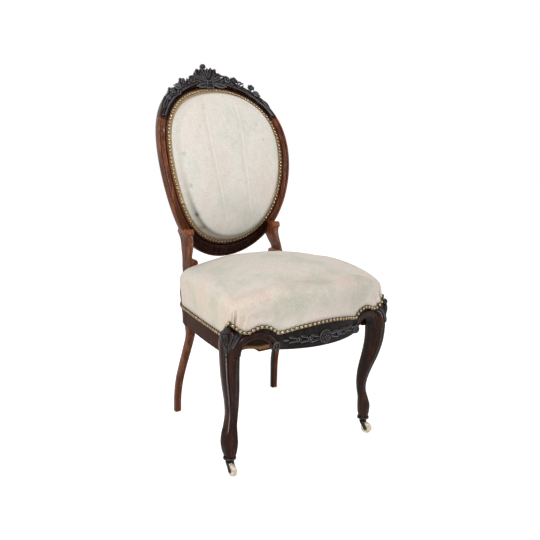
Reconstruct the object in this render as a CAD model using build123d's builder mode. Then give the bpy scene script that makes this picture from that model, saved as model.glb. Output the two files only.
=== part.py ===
from build123d import *
import os
from math import sin, cos, radians, degrees, atan2, sqrt, hypot

os.makedirs("parts", exist_ok=True)

# ---------------------------------------------------------------- driving sizes, millimetres
# +X is the sitter's left, -Y the front, +Z up; the floor is z = 0
depth_middle = 4.0         # middle of the chair's depth, where its origin is put

# seat frame in plan
front_line = -297.0        # face of the front rail at its middle
knee_line = -240.0         # face of the front rail where it meets the knees
scroll_line = -266.0       # face of the front rail at its scroll ends
scroll_reach = 112.0       # half the distance between the scroll ends
knee_reach = 215.0         # half the seat's width at the knees
knee_round = 24.0
scroll_ease = 60.0         # eases the plan between panel and knees
side_reach = 207.0         # half the seat's width at mid side
side_line = -60.0
rear_turn_reach = 198.0    # where the side starts to turn in to the back
rear_turn_line = 30.0
rear_round_reach = 186.0   # a point on the rear corner's arc
rear_round_line = 80.0
rear_reach = 150.0
rear_line = 118.0

# rails
rail_thick = 26.0
rail_bottom = 302.0
panel_bottom = 312.0
rail_top = 374.0
batten_line = -230.0       # front face of the batten behind the front rail
batten_thick = 22.0
batten_reach = 138.0       # half the batten's length; the webbing is tacked to it
block_low = 308.0          # underside of the corner blocks
block_high = 344.0
block_reach = 66.0         # how far a rear corner block runs along each rail

# front rail: arches beside the knees, scroll ends, panel
arch_reach = 153.0
arch_top = 346.0
arch_foot = 327.0
arch_end_reach = 122.0
scroll_radius = 10.5
scroll_height = 322.0
scroll_rise = 4.0
panel_field_depth = 1.5    # the sunk ground of the carved panel
panel_field_low = 319.0
panel_field_high = 347.0
rosette_radius = 15.0
rosette_height = 333.0
rosette_rise = 1.5
rosette_seat = 8.0            # how deep its back lies behind the rail's front line

# front legs: height, outward corner's x, y, and the section's two widths
foot_height = 46.0
leg_sections = [
    # z,   x,     y,      out,  across
    (46.0, 203.5, -202.5, 26.0, 29.0),
    (60.0, 204.0, -202.0, 31.0, 38.0),
    (80.0, 204.0, -202.0, 33.0, 43.5),
    (100.0, 202.0, -200.0, 27.5, 41.0),
    (122.0, 198.0, -197.0, 24.0, 34.5),
    (150.0, 196.0, -199.5, 27.0, 33.0),
    (185.0, 199.0, -206.5, 34.5, 37.0),
    (225.0, 206.0, -216.5, 42.0, 42.5),
    (265.0, 211.5, -223.5, 47.0, 46.0),
    (305.0, 213.0, -226.0, 51.0, 49.0),
    (345.0, 212.0, -226.0, 53.0, 52.0),
    (362.0, 210.5, -225.0, 51.0, 51.0),
    (374.0, 206.0, -221.0, 43.0, 47.0),
]
lozenge_power = 1.35       # 1 is a sharp lozenge, 2 an ellipse
lozenge_sides = 20
knob_reach = 224.0         # the cabochon on the knee
knob_line = -243.0
knob_height = 366.0
knob_radius = 9.0

# rear legs: side curve and front curve, both measured at the leg's middle
rear_leg_side = [
    # z,   y front, y back
    (0.0, 174.5, 191.5),
    (50.0, 170.5, 188.5),
    (100.0, 161.5, 180.5),
    (150.0, 143.0, 162.5),
    (200.0, 120.5, 141.0),
    (250.0, 100.0, 121.5),
    (300.0, 91.0, 119.0),
    (350.0, 91.0, 124.0),
    (400.0, 99.0, 136.0),
    (450.0, 109.0, 154.0),
    (500.0, 121.0, 176.0),
    (540.0, 131.0, 188.0),
]
rear_leg_face = [
    # z,   x inner, x outer
    (0.0, 156.5, 173.5),
    (50.0, 155.0, 172.5),
    (100.0, 151.0, 169.5),
    (150.0, 147.0, 166.0),
    (200.0, 143.5, 163.0),
    (250.0, 140.5, 161.5),
    (300.0, 139.0, 169.0),
    (350.0, 139.0, 172.0),
    (385.0, 137.0, 169.0),
    (415.0, 134.0, 156.0),
    (436.0, 133.0, 152.5),
]
arm_low_reach, arm_low_height = 132.5, 446.0     # lower scroll of the upright
arm_top_reach, arm_top_height = 137.5, 525.0     # upper scroll
arm_scroll_radius = 9.5
arm_outer = [(149.5, 450.0), (147.5, 462.0), (145.6, 478.0), (143.5, 492.0), (143.0, 505.0)]
arm_inner = [(137.0, 452.0), (137.5, 462.0), (133.0, 476.0), (129.3, 490.0), (126.8, 505.0)]

# oval back: side profile (two arcs meeting at the waist) and egg outline
waist_height = 612.0
waist_line = 142.0         # the front of the back's moulding at the waist
bend_above = 482.0
bend_below = 350.0
egg_height = 692.0         # middle of the egg above the floor
egg_half_width = 175.0
egg_half_height = 209.5
egg_lift = 0.14            # moves the widest part above the middle
egg_square = -0.045        # squares the shoulders
rim_side = 29.5            # nail line to the outer edge, at the sides
rim_bottom = 41.0
rim_lip = 8.0              # wood inside the nail line, under the upholstery
frame_thick = 23.0
bead_width = 6.0
bead_drop = 0.0
flat_drop = 3.0
groove_width = 2.0
groove_drop = 5.0
inner_bead_width = 5.5
inner_bead_drop = 2.5
ledge_drop = 8.0           # floor of the ledge that the upholstery is tacked to
crest_joint = 37.5         # angle of the joint between crest rail and side pieces
foot_joint = 232.0         # angle of the joint between side pieces and bottom piece

# upholstery
web_width = 50.0
web_thick = 1.4
strap_pitch = 56.0
cover_thick = 2.0
cloth_thick = 1.2
cloth_gap = 0.3            # between the rails and the cloth over them
cover_edge = 349.0         # lower edge of the seat cover
knee_centre = 209.5        # the round that the pad is cut to over each knee
knee_room_radius = 32.0
knee_room_top = 388.0
crown_height = 488.0
crown_line = -85.0
crown_radius = 540.0
pad_swell = 10.0           # how far the pad's side bulges past the rail
back_pad_height = 20.0
back_pad_roll = 9.0
back_strap_heights = (-110.0, 0.0, 110.0)    # from the egg's middle
back_strap_reach = 75.0
crown_sides = 64           # facets round the seat's pad
spring_wire = 1.7
spring_reach = 31.0
spring_waist = 21.0
spring_turns = 4
spring_facets = 8          # straight lengths in one turn of wire

# dowels
dowel_radius = 4.0
dowel_length = 38.0
back_dowel_radius = 3.5
back_dowel_length = 32.0

# casters
wheel_radius = 14.4
wheel_width = 12.0
wheel_chamfer = 1.5
caster_trail = 10.5
caster_reach = 203.5
caster_line = -202.5
caster_turns = {"left": 4.0, "right": 28.0}
plate_radius = 15.5
plate_thick = 4.5
pintle_radius = 3.0
axle_radius = 2.2
running_gap = 0.06
fork_gap = 0.6
fork_thick = 2.4
fork_top = 34.0
fork_low = 31.0
fork_width = 15.0
fork_eye = 5.0
pintle_sunk = 22.0         # how deep the pintle goes into the leg
pintle_head = 4.6
collar_gap = 0.3           # between the fork's crown and the collar above it

far = 900.0                # longer than the chair, for cutting through it


# ---------------------------------------------------------------- helpers
def save(solid, name):
    solid = solid.moved(Location((0, -depth_middle, 0)))
    solid.label = name
    export_step(solid, f"parts/{name}.step")
    print(name, len(solid.solids()), round(solid.volume))


def save_pair(solid, name):
    save(solid, f"{name}_right")
    save(mirror(solid, about=Plane.YZ), f"{name}_left")


def biggest(solid):
    # drops the crumbs that a cut leaves behind
    return Part() + solid.solids().sort_by(SortBy.VOLUME)[-1]


def egg(offset, bottom_extra=0.0, count=24):
    # outline of the oval, moved outwards by offset, with more at the bottom
    points = []
    for i in range(count):
        t = radians(360.0 * i / count)
        x = egg_half_width * (cos(t) + egg_lift * cos(t) * sin(t) + egg_square * cos(3 * t))
        z = egg_half_height * sin(t)
        dx = egg_half_width * (-sin(t) + egg_lift * cos(2 * t) - 3 * egg_square * sin(3 * t))
        dz = egg_half_height * cos(t)
        run = hypot(dx, dz)
        grow = offset + bottom_extra * max(0.0, -sin(t)) ** 4
        points.append((x + grow * dz / run, egg_height + z - grow * dx / run))
    return points


def egg_prism(offset, bottom_extra=0.0):
    with BuildPart() as prism:
        with BuildSketch(Plane.XZ) as outline:
            with BuildLine():
                Spline(*egg(offset, bottom_extra), periodic=True)
            make_face()
        extrude(amount=-far)
    return prism.part


def bent_slab(front, back):
    # slab that follows the back's side profile, between two depths behind its front
    upper, lower = radians(52.0), radians(40.0)

    def place(angle, depth, bend, way):
        radius = bend - depth
        return (waist_line + bend - radius * cos(angle), waist_height + way * radius * sin(angle))

    with BuildPart() as slab:
        with BuildSketch(Plane.YZ):
            with BuildLine():
                a = ThreePointArc(place(lower, front, bend_below, -1),
                                  place(lower / 2, front, bend_below, -1),
                                  place(0, front, bend_below, -1))
                b = ThreePointArc(a @ 1, place(upper / 2, front, bend_above, 1),
                                  place(upper, front, bend_above, 1))
                c = Line(b @ 1, place(upper, back, bend_above, 1))
                d = ThreePointArc(c @ 1, place(upper / 2, back, bend_above, 1),
                                  place(0, back, bend_above, 1))
                e = ThreePointArc(d @ 1, place(lower / 2, back, bend_below, -1),
                                  place(lower, back, bend_below, -1))
                Line(e @ 1, a @ 0)
            make_face()
        extrude(amount=far / 2, both=True)
    return slab.part


def bend_line(height, depth):
    # y of the back at a height, at a depth behind its front
    bend = bend_above if height > waist_height else bend_below
    return waist_line + bend - sqrt((bend - depth) ** 2 - (height - waist_height) ** 2)


def bend_slope(height):
    bend = bend_above if height > waist_height else bend_below
    run = height - waist_height
    return run / sqrt(bend ** 2 - run ** 2)


def rim_point(angle, offset):
    # where a spoke at this angle crosses the oval
    points = egg(offset, 0.0, 720)
    return min(points, key=lambda p: abs((degrees(atan2(p[1] - egg_height, p[0])) - angle + 180) % 360 - 180))


def seat_plan(grow=0.0):
    # plan of the seat frame's outer face
    with BuildSketch() as plan:
        with BuildLine():
            ThreePointArc((-scroll_reach, scroll_line), (0, front_line), (scroll_reach, scroll_line))
            for side in (1, -1):
                Line((side * scroll_reach, scroll_line), (side * knee_reach, knee_line))
                ThreePointArc((side * knee_reach, knee_line), (side * side_reach, side_line),
                              (side * rear_turn_reach, rear_turn_line))
                ThreePointArc((side * rear_turn_reach, rear_turn_line),
                              (side * rear_round_reach, rear_round_line),
                              (side * rear_reach, rear_line))
            Line((-rear_reach, rear_line), (rear_reach, rear_line))
        make_face()
        fillet([v for v in plan.vertices() if abs(v.Y - knee_line) < 1], knee_round)
        fillet([v for v in plan.vertices() if abs(v.Y - scroll_line) < 1], scroll_ease)
        if grow:
            offset(amount=grow, kind=Kind.ARC)
    return plan.sketch


def seat_prism(grow, low, high):
    with BuildPart() as prism:
        with BuildSketch(Plane.XY.offset(low)):
            add(seat_plan(grow))
        extrude(amount=high - low)
    return prism.part


# ---------------------------------------------------------------- front legs
def leg_section(z, x, y, out, across):
    # rounded lozenge with one corner pointing out from the seat's corner
    corner = Plane(origin=(x, y, z), x_dir=(1, -1, 0), z_dir=(0, 0, 1))

    def bulge(value):
        return abs(value) ** (2 / lozenge_power) * (1 if value > 0 else -1)

    turns = [radians(360 * i / lozenge_sides) for i in range(lozenge_sides)]
    with BuildSketch(corner) as section:
        with BuildLine():
            Polyline(*[(out / 2 * bulge(cos(t)), across / 2 * bulge(sin(t))) for t in turns], close=True)
        make_face()
    return section.sketch


with BuildPart() as front_leg:
    for row in leg_sections:
        add(leg_section(*row))
    loft(ruled=True)
    # cabochon on the knee, facing out from the corner
    with BuildSketch(Plane(origin=(knob_reach - 4, knob_line + 4, knob_height), z_dir=(1, -1, 0))):
        RegularPolygon(knob_radius, 12)
    extrude(amount=knob_radius, taper=25)

# ---------------------------------------------------------------- rear legs
with BuildPart() as rear_leg:
    # sawn to its side curve ...
    with BuildSketch(Plane.YZ.offset(100)):
        with BuildLine():
            front = Spline(*[(y, z) for z, y, _ in rear_leg_side])
            back = Spline(*[(y, z) for z, _, y in rear_leg_side])
            Line(front @ 0, back @ 0)
            Line(front @ 1, back @ 1)
        make_face()
    extrude(amount=120)
    # ... and then to its front curve, with the scrolled arm above the seat
    with BuildSketch(Plane.XZ):
        with BuildLine():
            inner = Spline(*[(x, z) for z, x, _ in rear_leg_face])
            outer = Spline(*[(x, z) for z, _, x in rear_leg_face])
            Line(inner @ 0, outer @ 0)
            Line(inner @ 1, outer @ 1)
        make_face()
        with BuildLine():
            arm_out = Spline(outer @ 1, *arm_outer, (arm_top_reach + arm_scroll_radius - 1, arm_top_height))
            arm_in = Spline(inner @ 1, *arm_inner, (arm_top_reach - arm_scroll_radius + 1, arm_top_height))
            Line(arm_out @ 0, arm_in @ 0)
            Line(arm_out @ 1, arm_in @ 1)
        make_face()
        with Locations((arm_low_reach, arm_low_height), (arm_top_reach, arm_top_height)):
            Circle(arm_scroll_radius)
    extrude(amount=-far, mode=Mode.INTERSECT)

# ---------------------------------------------------------------- rails
inner_room = seat_prism(-rail_thick, rail_bottom - 1, rail_top + 1)
leg_joint = knee_reach - 23.0
side_joint = -206.0
rear_joint = 91.0

with BuildPart() as front_rail:
    add(seat_prism(0, panel_bottom, rail_top))
    add(inner_room, mode=Mode.SUBTRACT)
    with BuildSketch(Plane.XZ.offset(-batten_line)):
        with BuildLine():
            Polyline((-leg_joint, arch_foot), (-leg_joint, rail_top), (leg_joint, rail_top),
                     (leg_joint, arch_foot))
            for side in (1, -1):
                arch_start = 2 * arch_reach - arch_end_reach
                Line((side * leg_joint, arch_foot), (side * arch_start, arch_foot))
                ThreePointArc((side * arch_start, arch_foot), (side * arch_reach, arch_top),
                              (side * arch_end_reach, arch_foot))
                Line((side * arch_end_reach, arch_foot), (side * arch_end_reach, panel_bottom))
            Line((-arch_end_reach, panel_bottom), (arch_end_reach, panel_bottom))
        make_face()
    extrude(amount=far, mode=Mode.INTERSECT)
    # sunk field of the panel, with a rosette in its middle and a scroll button at each end of it
    field_reach = scroll_reach - scroll_radius - 3
    with BuildPart(mode=Mode.SUBTRACT):
        with Locations((0, front_line, (panel_field_low + panel_field_high) / 2)):
            Box(2 * field_reach, 2 * (scroll_line - front_line), panel_field_high - panel_field_low)
        add(seat_prism(-panel_field_depth, rail_bottom, rail_top), mode=Mode.SUBTRACT)
    with BuildSketch(Plane.XZ.offset(-scroll_line - scroll_rise)):
        with Locations((-scroll_reach, scroll_height), (scroll_reach, scroll_height)):
            RegularPolygon(scroll_radius, 16)
    extrude(amount=2 * scroll_rise)
    with BuildSketch(Plane.XZ.offset(-front_line - rosette_seat)):
        with Locations((0, rosette_height)):
            RegularPolygon(rosette_radius, 16)
    extrude(amount=rosette_seat + rosette_rise)
    add(front_leg.part, mode=Mode.SUBTRACT)
    add(mirror(front_leg.part, about=Plane.YZ), mode=Mode.SUBTRACT)

with BuildPart() as side_rail:
    add(seat_prism(0, rail_bottom, rail_top))
    add(inner_room, mode=Mode.SUBTRACT)
    with Locations((knee_reach, (side_joint + rear_joint) / 2, rail_top)):
        Box(2 * (knee_reach - rear_reach), rear_joint - side_joint, far, mode=Mode.INTERSECT)
    add(front_leg.part, mode=Mode.SUBTRACT)
    add(rear_leg.part, mode=Mode.SUBTRACT)

with BuildPart() as rear_rail:
    with Locations((0, rear_line - rail_thick / 2, (rail_bottom + rail_top) / 2)):
        Box(2 * rear_reach, rail_thick, rail_top - rail_bottom)
    add(rear_leg.part, mode=Mode.SUBTRACT)
    add(mirror(rear_leg.part, about=Plane.YZ), mode=Mode.SUBTRACT)
rear_rail_solid = biggest(rear_rail.part)

with BuildPart() as front_batten:
    with Locations((0, batten_line + batten_thick / 2, (rail_bottom + rail_top) / 2)):
        Box(2 * batten_reach, batten_thick, rail_top - rail_bottom)

with BuildPart() as front_block:
    # bar across the corner, from the batten's end to the side rail
    block_start = batten_reach + 0.3
    with BuildSketch(Plane.XY.offset(block_low)):
        with BuildLine():
            Polyline((block_start, batten_line), (leg_joint, batten_line + 38), (leg_joint, batten_line + 78),
                     (block_start, batten_line + 34), close=True)
        make_face()
    extrude(amount=block_high - block_low)
    add(side_rail.part, mode=Mode.SUBTRACT)
    add(front_leg.part, mode=Mode.SUBTRACT)

with BuildPart() as rear_block:
    block_end = side_reach - rail_thick - 6
    with BuildSketch(Plane.XY.offset(block_low)):
        with BuildLine():
            Polyline((block_end, rear_joint), (block_end, rear_joint - block_reach),
                     (block_end - block_reach, rear_joint), close=True)
        make_face()
    extrude(amount=block_high - block_low)
    add(side_rail.part, mode=Mode.SUBTRACT)
    add(rear_leg.part, mode=Mode.SUBTRACT)
    add(rear_rail.part, mode=Mode.SUBTRACT)

# ---------------------------------------------------------------- oval back frame
def ring(inner, outer, front, back, inner_extra=0.0, outer_extra=0.0):
    band = egg_prism(outer, outer_extra) - egg_prism(inner, inner_extra)
    return band & bent_slab(front, back)


bottom_extra = rim_bottom - rim_side
bead_in = 3.0
flat_in = bead_in + inner_bead_width + groove_width
whole_frame = (
    ring(-rim_lip, rim_side, ledge_drop, frame_thick, 0, bottom_extra)
    + ring(bead_in, rim_side, groove_drop, ledge_drop + 1, 0, bottom_extra)
    + ring(bead_in, bead_in + inner_bead_width, inner_bead_drop, groove_drop + 1)
    + ring(flat_in, rim_side, flat_drop, groove_drop + 1, 0, bottom_extra)
    + ring(rim_side - bead_width, rim_side, bead_drop, flat_drop + 1, bottom_extra, bottom_extra)
)


def sector(start, stop):
    # wedge of the oval between two angles, seen from the front
    middle = (start + stop) / 2
    with BuildPart() as wedge:
        with BuildSketch(Plane.XZ):
            with BuildLine():
                spokes = [(far * cos(radians(a)), egg_height + far * sin(radians(a)))
                          for a in (start, middle, stop)]
                Polyline((0, egg_height), *spokes, close=True)
            make_face()
        extrude(amount=-far)
    return wedge.part


crest_rail = whole_frame & sector(crest_joint, 180 - crest_joint)
back_stile = whole_frame & sector(180 - foot_joint, crest_joint)
back_foot_rail = whole_frame & sector(foot_joint, 540 - foot_joint)
rear_leg_notched = rear_leg.part - (egg_prism(rim_side, bottom_extra) & bent_slab(0, frame_thick))
rear_leg_solid = biggest(rear_leg_notched)


# ---------------------------------------------------------------- crest carving
crest_lobes = [
    # reach, height, radius: knob, shell, scroll, leaf, rose, leaf, bud, tail
    (0, 966, 8.5), (0, 948, 17), (18, 952, 13), (44, 938, 14), (62, 929, 9), (80, 925, 12.5), (100, 913, 10),
    (122, 907, 10.5), (138, 892, 9), (154, 874, 6),
]
with BuildPart() as crest_blank:
    with BuildSketch(Plane.XZ):
        for reach, height, radius in crest_lobes:
            for side in (1, -1):
                with Locations((side * reach, height)):
                    RegularPolygon(radius, 9)
    extrude(amount=-far)
crest_carving = crest_blank.part & bent_slab(-6, 8)
crest_band = (egg_prism(rim_side + 4, bottom_extra) - egg_prism(rim_side - 9)) & bent_slab(-2, 15) & sector(
    crest_joint + 3, 180 - crest_joint - 3)
crest_carving = (crest_carving + crest_band) - crest_rail - egg_prism(rim_side - 10)

# ---------------------------------------------------------------- back upholstery
def back_pad(grow, rise):
    with BuildPart() as pad:
        add(egg_prism(grow) & bent_slab(-rise, ledge_drop - 4))
        face = pad.faces().sort_by(Axis.Y)[0]
        chamfer(face.edges(), back_pad_roll)
    return pad.part


back_field = egg_prism(bead_in - 0.6)
back_webbing = Part()
for height in back_strap_heights:
    with BuildPart() as strap:
        with Locations((0, 200, egg_height + height)):
            Box(far, far / 2, web_width)
    back_webbing += strap.part & bent_slab(ledge_drop - web_thick, ledge_drop) & back_field
for reach in (-back_strap_reach, back_strap_reach):
    with BuildPart() as strap:
        with Locations((reach, 200, egg_height)):
            Box(web_width, far / 2, far)
    back_webbing += strap.part & bent_slab(ledge_drop - 2 * web_thick, ledge_drop - web_thick) & back_field
back_hessian = bent_slab(ledge_drop - 4, ledge_drop - 2 * web_thick) & back_field
back_stuffing = back_pad(bead_in - 0.6 - cover_thick, back_pad_height - cover_thick)
back_cover_front = back_pad(bead_in - 0.6, back_pad_height) - back_stuffing
back_cover_rear = bent_slab(frame_thick, frame_thick + cover_thick) & egg_prism(bead_in + 4)


# ---------------------------------------------------------------- seat upholstery
def dome(grow, low, rise):
    # pad over the seat plan: its sides swell above the rail and roll in at the rim, a ball cuts the crown
    rows = [(0, 0.0), (22, 0.7), (38, 1.0), (52, 0.6), (64, -0.5), (74, -2.4), (84, -6.0), (124, -11.0)]
    foot = rail_top + 2

    edge = seat_plan().face().outer_wire()
    corners = [edge @ (i / crown_sides) for i in range(crown_sides)]

    def widened(height, amount):
        size = 1 + amount / knee_reach
        with BuildSketch(Plane.XY.offset(height)) as plan:
            with BuildLine():
                Polyline(*[(size * p.X, side_line + size * (p.Y - side_line)) for p in corners], close=True)
            make_face()
        return plan.sketch

    with BuildPart() as block:
        for climb, share in rows:
            add(widened(foot + climb, grow + share * pad_swell))
        loft(ruled=True)
        with BuildSketch(Plane((0, side_line, low))):
            add(seat_plan().moved(Location((0, -side_line, 0))))
            scale(by=1 + grow / knee_reach)
        extrude(amount=foot - low)
        with Locations((0, crown_line, crown_height - crown_radius)):
            Sphere(crown_radius + rise, mode=Mode.INTERSECT)
    return block.part


with BuildPart() as knee_room:
    with BuildSketch(Plane.XY.offset(cover_edge - 2)):
        with Locations((knee_centre, -knee_centre - 16)):
            Circle(knee_room_radius)
    extrude(amount=knee_room_top - cover_edge)
legs = [knee_room.part, mirror(knee_room.part, about=Plane.YZ), rear_leg_solid,
        mirror(rear_leg_solid, about=Plane.YZ)]
with BuildPart() as edge_cut:
    with BuildSketch(Plane.XZ.offset(-side_joint)):
        with BuildLine():
            wave = Spline((-192, 364), (-arch_reach - 3, 367), (-124, 356), (-97, 346), (0, 357),
                          (97, 346), (124, 356), (arch_reach + 3, 367), (192, 364))
            Polyline(wave @ 0, (-192, 300), (192, 300), wave @ 1)
        make_face()
    extrude(amount=far / 4)

hessian_low = rail_top
stuffing_low = rail_top + cloth_thick
seat_hessian = seat_prism(-4, hessian_low, stuffing_low)
seat_stuffing = dome(0, stuffing_low, -cover_thick)
seat_cover = dome(cover_thick, cover_edge, 0) - dome(cloth_gap, cover_edge - 1, -cover_thick) - edge_cut.part
for leg in legs:
    seat_hessian -= leg
    seat_stuffing -= leg
    seat_cover -= leg
seat_cover = biggest(seat_cover)


def strap_run(start, stop, crossings, up_first):
    # webbing strap seen from its side: flat at each crossing, alternately over and under
    half = web_width / 2 + 2
    top = rail_bottom
    drop = web_thick + 0.3
    path = [(start, top)]
    for i, middle in enumerate(crossings):
        level = top if (i % 2 == 0) == up_first else top - drop
        path += [(middle - half, level), (middle + half, level)]
    path.append((stop, top))
    return path


def strap_profile(path, plane, width):
    with BuildPart() as strap:
        with BuildSketch(plane):
            with BuildLine():
                Polyline(*path, *[(a, z - web_thick) for a, z in reversed(path)], close=True)
            make_face()
        extrude(amount=width / 2, both=True)
    return strap.part


strap_steps = (-2, -1, 0, 1, 2)
webbing_line = (batten_line + batten_thick + rear_line - rail_thick) / 2
long_straps = [step * strap_pitch for step in strap_steps]
cross_straps = [webbing_line + step * strap_pitch for step in strap_steps]
seat_straps = []
for i, reach in enumerate(long_straps):
    path = strap_run(batten_line + 2, rear_line - 2, cross_straps, i % 2 == 0)
    seat_straps.append(strap_profile(path, Plane.YZ.offset(reach), web_width))
for i, line in enumerate(cross_straps):
    span = side_reach - rail_thick / 2 - (6 if line > rear_turn_line - strap_pitch else 0)
    path = strap_run(-span, span, long_straps, i % 2 == 1)
    seat_straps.append(strap_profile(path, Plane.XZ.offset(-line), web_width))
seat_webbing = Compound(children=seat_straps)

# ---------------------------------------------------------------- springs
spring_low = rail_bottom + spring_wire + 0.1
spring_high = rail_top - spring_wire - 0.1


def spring_point(turn):
    # coil that narrows at mid height
    share = turn / spring_turns
    radius = spring_waist + (spring_reach - spring_waist) * (2 * share - 1) ** 2
    angle = radians(360 * turn)
    return (radius * cos(angle), radius * sin(angle), spring_low + share * (spring_high - spring_low))


spring_steps = spring_facets * spring_turns
with BuildPart() as seat_spring:
    with BuildLine() as coil:
        Polyline(*[spring_point(i / spring_facets) for i in range(spring_steps + 1)])
    with BuildSketch(Plane(origin=coil.line @ 0, z_dir=coil.line % 0)):
        RegularPolygon(spring_wire, 5)
    sweep(transition=Transition.RIGHT)
spring_places = [(0, webbing_line)] + [(x * strap_pitch, webbing_line + y * strap_pitch)
                                       for x in (-1, 1) for y in (-1, 1)]
seat_springs = Compound(children=[seat_spring.part.moved(Location((x, y, 0))) for x, y in spring_places])

# ---------------------------------------------------------------- dowels
dowel_low, dowel_high = rail_bottom + 20, rail_top - 18
dowel_places = [
    # x, y, z, axis: rail into front leg, side rail into each leg, rear rail into leg
    (leg_joint, knee_line + 2, dowel_high + 4, "X"),
    (side_reach - 8, side_joint, dowel_low, "Y"), (side_reach - 8, side_joint, dowel_high, "Y"),
    (rear_leg_face[6][2] - 4, rear_joint, dowel_low, "Y"), (rear_leg_face[6][2] - 4, rear_joint, dowel_high, "Y"),
    (rear_leg_face[6][1], rear_line - rail_thick / 2, dowel_low, "X"),
    (rear_leg_face[6][1], rear_line - rail_thick / 2, dowel_high, "X"),
]
with BuildPart() as dowel_blank:
    with BuildSketch():
        RegularPolygon(dowel_radius, 8)
    extrude(amount=dowel_length / 2, both=True)
dowels = []
for x, y, z, axis in dowel_places:
    turn = (0, 90, 0) if axis == "X" else (90, 0, 0)
    for side in (1, -1):
        dowels.append(Location((side * x, y, z), turn) * dowel_blank.part)
joint_dowels = Compound(children=dowels)


def bored(solid, pins=dowels):
    for pin in pins:
        solid = solid - pin
    return solid


back_pins = []
for angle in (crest_joint, 180 - crest_joint, foot_joint, 540 - foot_joint):
    x, z = rim_point(angle, (flat_in + rim_side) / 2)
    slope = bend_slope(z)
    along = Vector(-sin(radians(angle)), slope * cos(radians(angle)), cos(radians(angle)))
    seat = Plane(origin=(x, bend_line(z, (ledge_drop + frame_thick) / 2), z), z_dir=along)
    back_pins.append(seat.location * Cylinder(back_dowel_radius, back_dowel_length))
back_dowels = Compound(children=back_pins)


# ---------------------------------------------------------------- casters
arm_gap = wheel_width / 2 + fork_gap
with BuildPart() as caster_plate:
    with BuildSketch(Plane.XY.offset(foot_height - plate_thick)):
        RegularPolygon(plate_radius, 20)
    extrude(amount=plate_thick)
    with BuildSketch(Plane.XY.offset(fork_top + collar_gap)):
        RegularPolygon(2 * pintle_radius, 12)
    extrude(amount=foot_height - plate_thick - fork_top - collar_gap)
    with Locations((0, 0, foot_height)):
        Cylinder(pintle_radius, far, mode=Mode.SUBTRACT)
with BuildPart() as caster_pintle:
    with BuildSketch(Plane.XY.offset(fork_low - 0.2)):
        Circle(pintle_radius)
    extrude(amount=foot_height + pintle_sunk - fork_low)
    with BuildSketch(Plane.XY.offset(fork_low - 2.8)):
        RegularPolygon(pintle_head, 10)
    extrude(amount=2.6)
with BuildPart() as caster_fork:
    with BuildSketch(Plane.YZ.offset(arm_gap)):
        with Locations((-caster_trail, wheel_radius)):
            RegularPolygon(fork_eye, 12)
        with Locations((0, (fork_top + fork_low) / 2)):
            Rectangle(fork_width, fork_top - fork_low)
        make_hull()
    extrude(amount=fork_thick)
    mirror(about=Plane.YZ)
    with BuildSketch(Plane.XY.offset(fork_low)):
        Rectangle(2 * (arm_gap + fork_thick), fork_width)
    extrude(amount=fork_top - fork_low)
    Cylinder(pintle_radius + running_gap, far, mode=Mode.SUBTRACT)
    with Locations(Location((0, -caster_trail, wheel_radius), (0, 90, 0))):
        Cylinder(axle_radius, far, mode=Mode.SUBTRACT)
with BuildPart() as caster_axle:
    with Locations(Location((0, -caster_trail, wheel_radius), (0, 90, 0))):
        Cylinder(axle_radius, 2 * (arm_gap + fork_thick) + 1.6)
with BuildPart() as caster_wheel:
    with Locations(Location((0, -caster_trail, wheel_radius), (0, 90, 0))):
        Cylinder(wheel_radius, wheel_width)
        chamfer(caster_wheel.edges().filter_by(GeomType.CIRCLE), wheel_chamfer)
        Cylinder(axle_radius + running_gap, far, mode=Mode.SUBTRACT)

# ---------------------------------------------------------------- hand in
for side, way in (("right", 1), ("left", -1)):
    place = Location((way * caster_reach, caster_line, 0), (0, 0, caster_turns[side]))
    for piece, name in ((caster_plate, "plate"), (caster_pintle, "pintle"), (caster_fork, "fork"),
                        (caster_axle, "axle"), (caster_wheel, "wheel")):
        save(place * piece.part, f"caster_{name}_{side}")

pintle_here = Location((caster_reach, caster_line, 0)) * caster_pintle.part
save_pair(bored(front_leg.part) - pintle_here, "front_leg")
save_pair(bored(rear_leg_solid), "rear_leg")
save(bored(front_rail.part), "front_rail")
save_pair(bored(side_rail.part), "side_rail")
save(bored(rear_rail_solid), "rear_rail")
save(bored(front_batten.part), "front_batten")
save_pair(front_block.part, "corner_block_front")
save_pair(rear_block.part, "corner_block_rear")
save(joint_dowels, "rail_dowels")
save(bored(crest_rail, back_pins), "crest_rail")
save(crest_carving, "crest_carving")
save(back_dowels, "back_dowels")
save_pair(bored(back_stile, back_pins), "back_stile")
save(bored(back_foot_rail, back_pins), "back_bottom_rail")
save(back_webbing, "back_webbing")
save(back_hessian, "back_hessian")
save(back_stuffing, "back_stuffing")
save(back_cover_front, "back_cover_front")
save(back_cover_rear, "back_cover_rear")
save(seat_webbing, "seat_webbing")
save(seat_springs, "seat_springs")
save(seat_hessian, "seat_hessian")
save(seat_stuffing, "seat_stuffing")
save(seat_cover, "seat_cover")
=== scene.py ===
import bpy
import math
import random
from mathutils import Matrix, Vector, kdtree, noise


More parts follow.
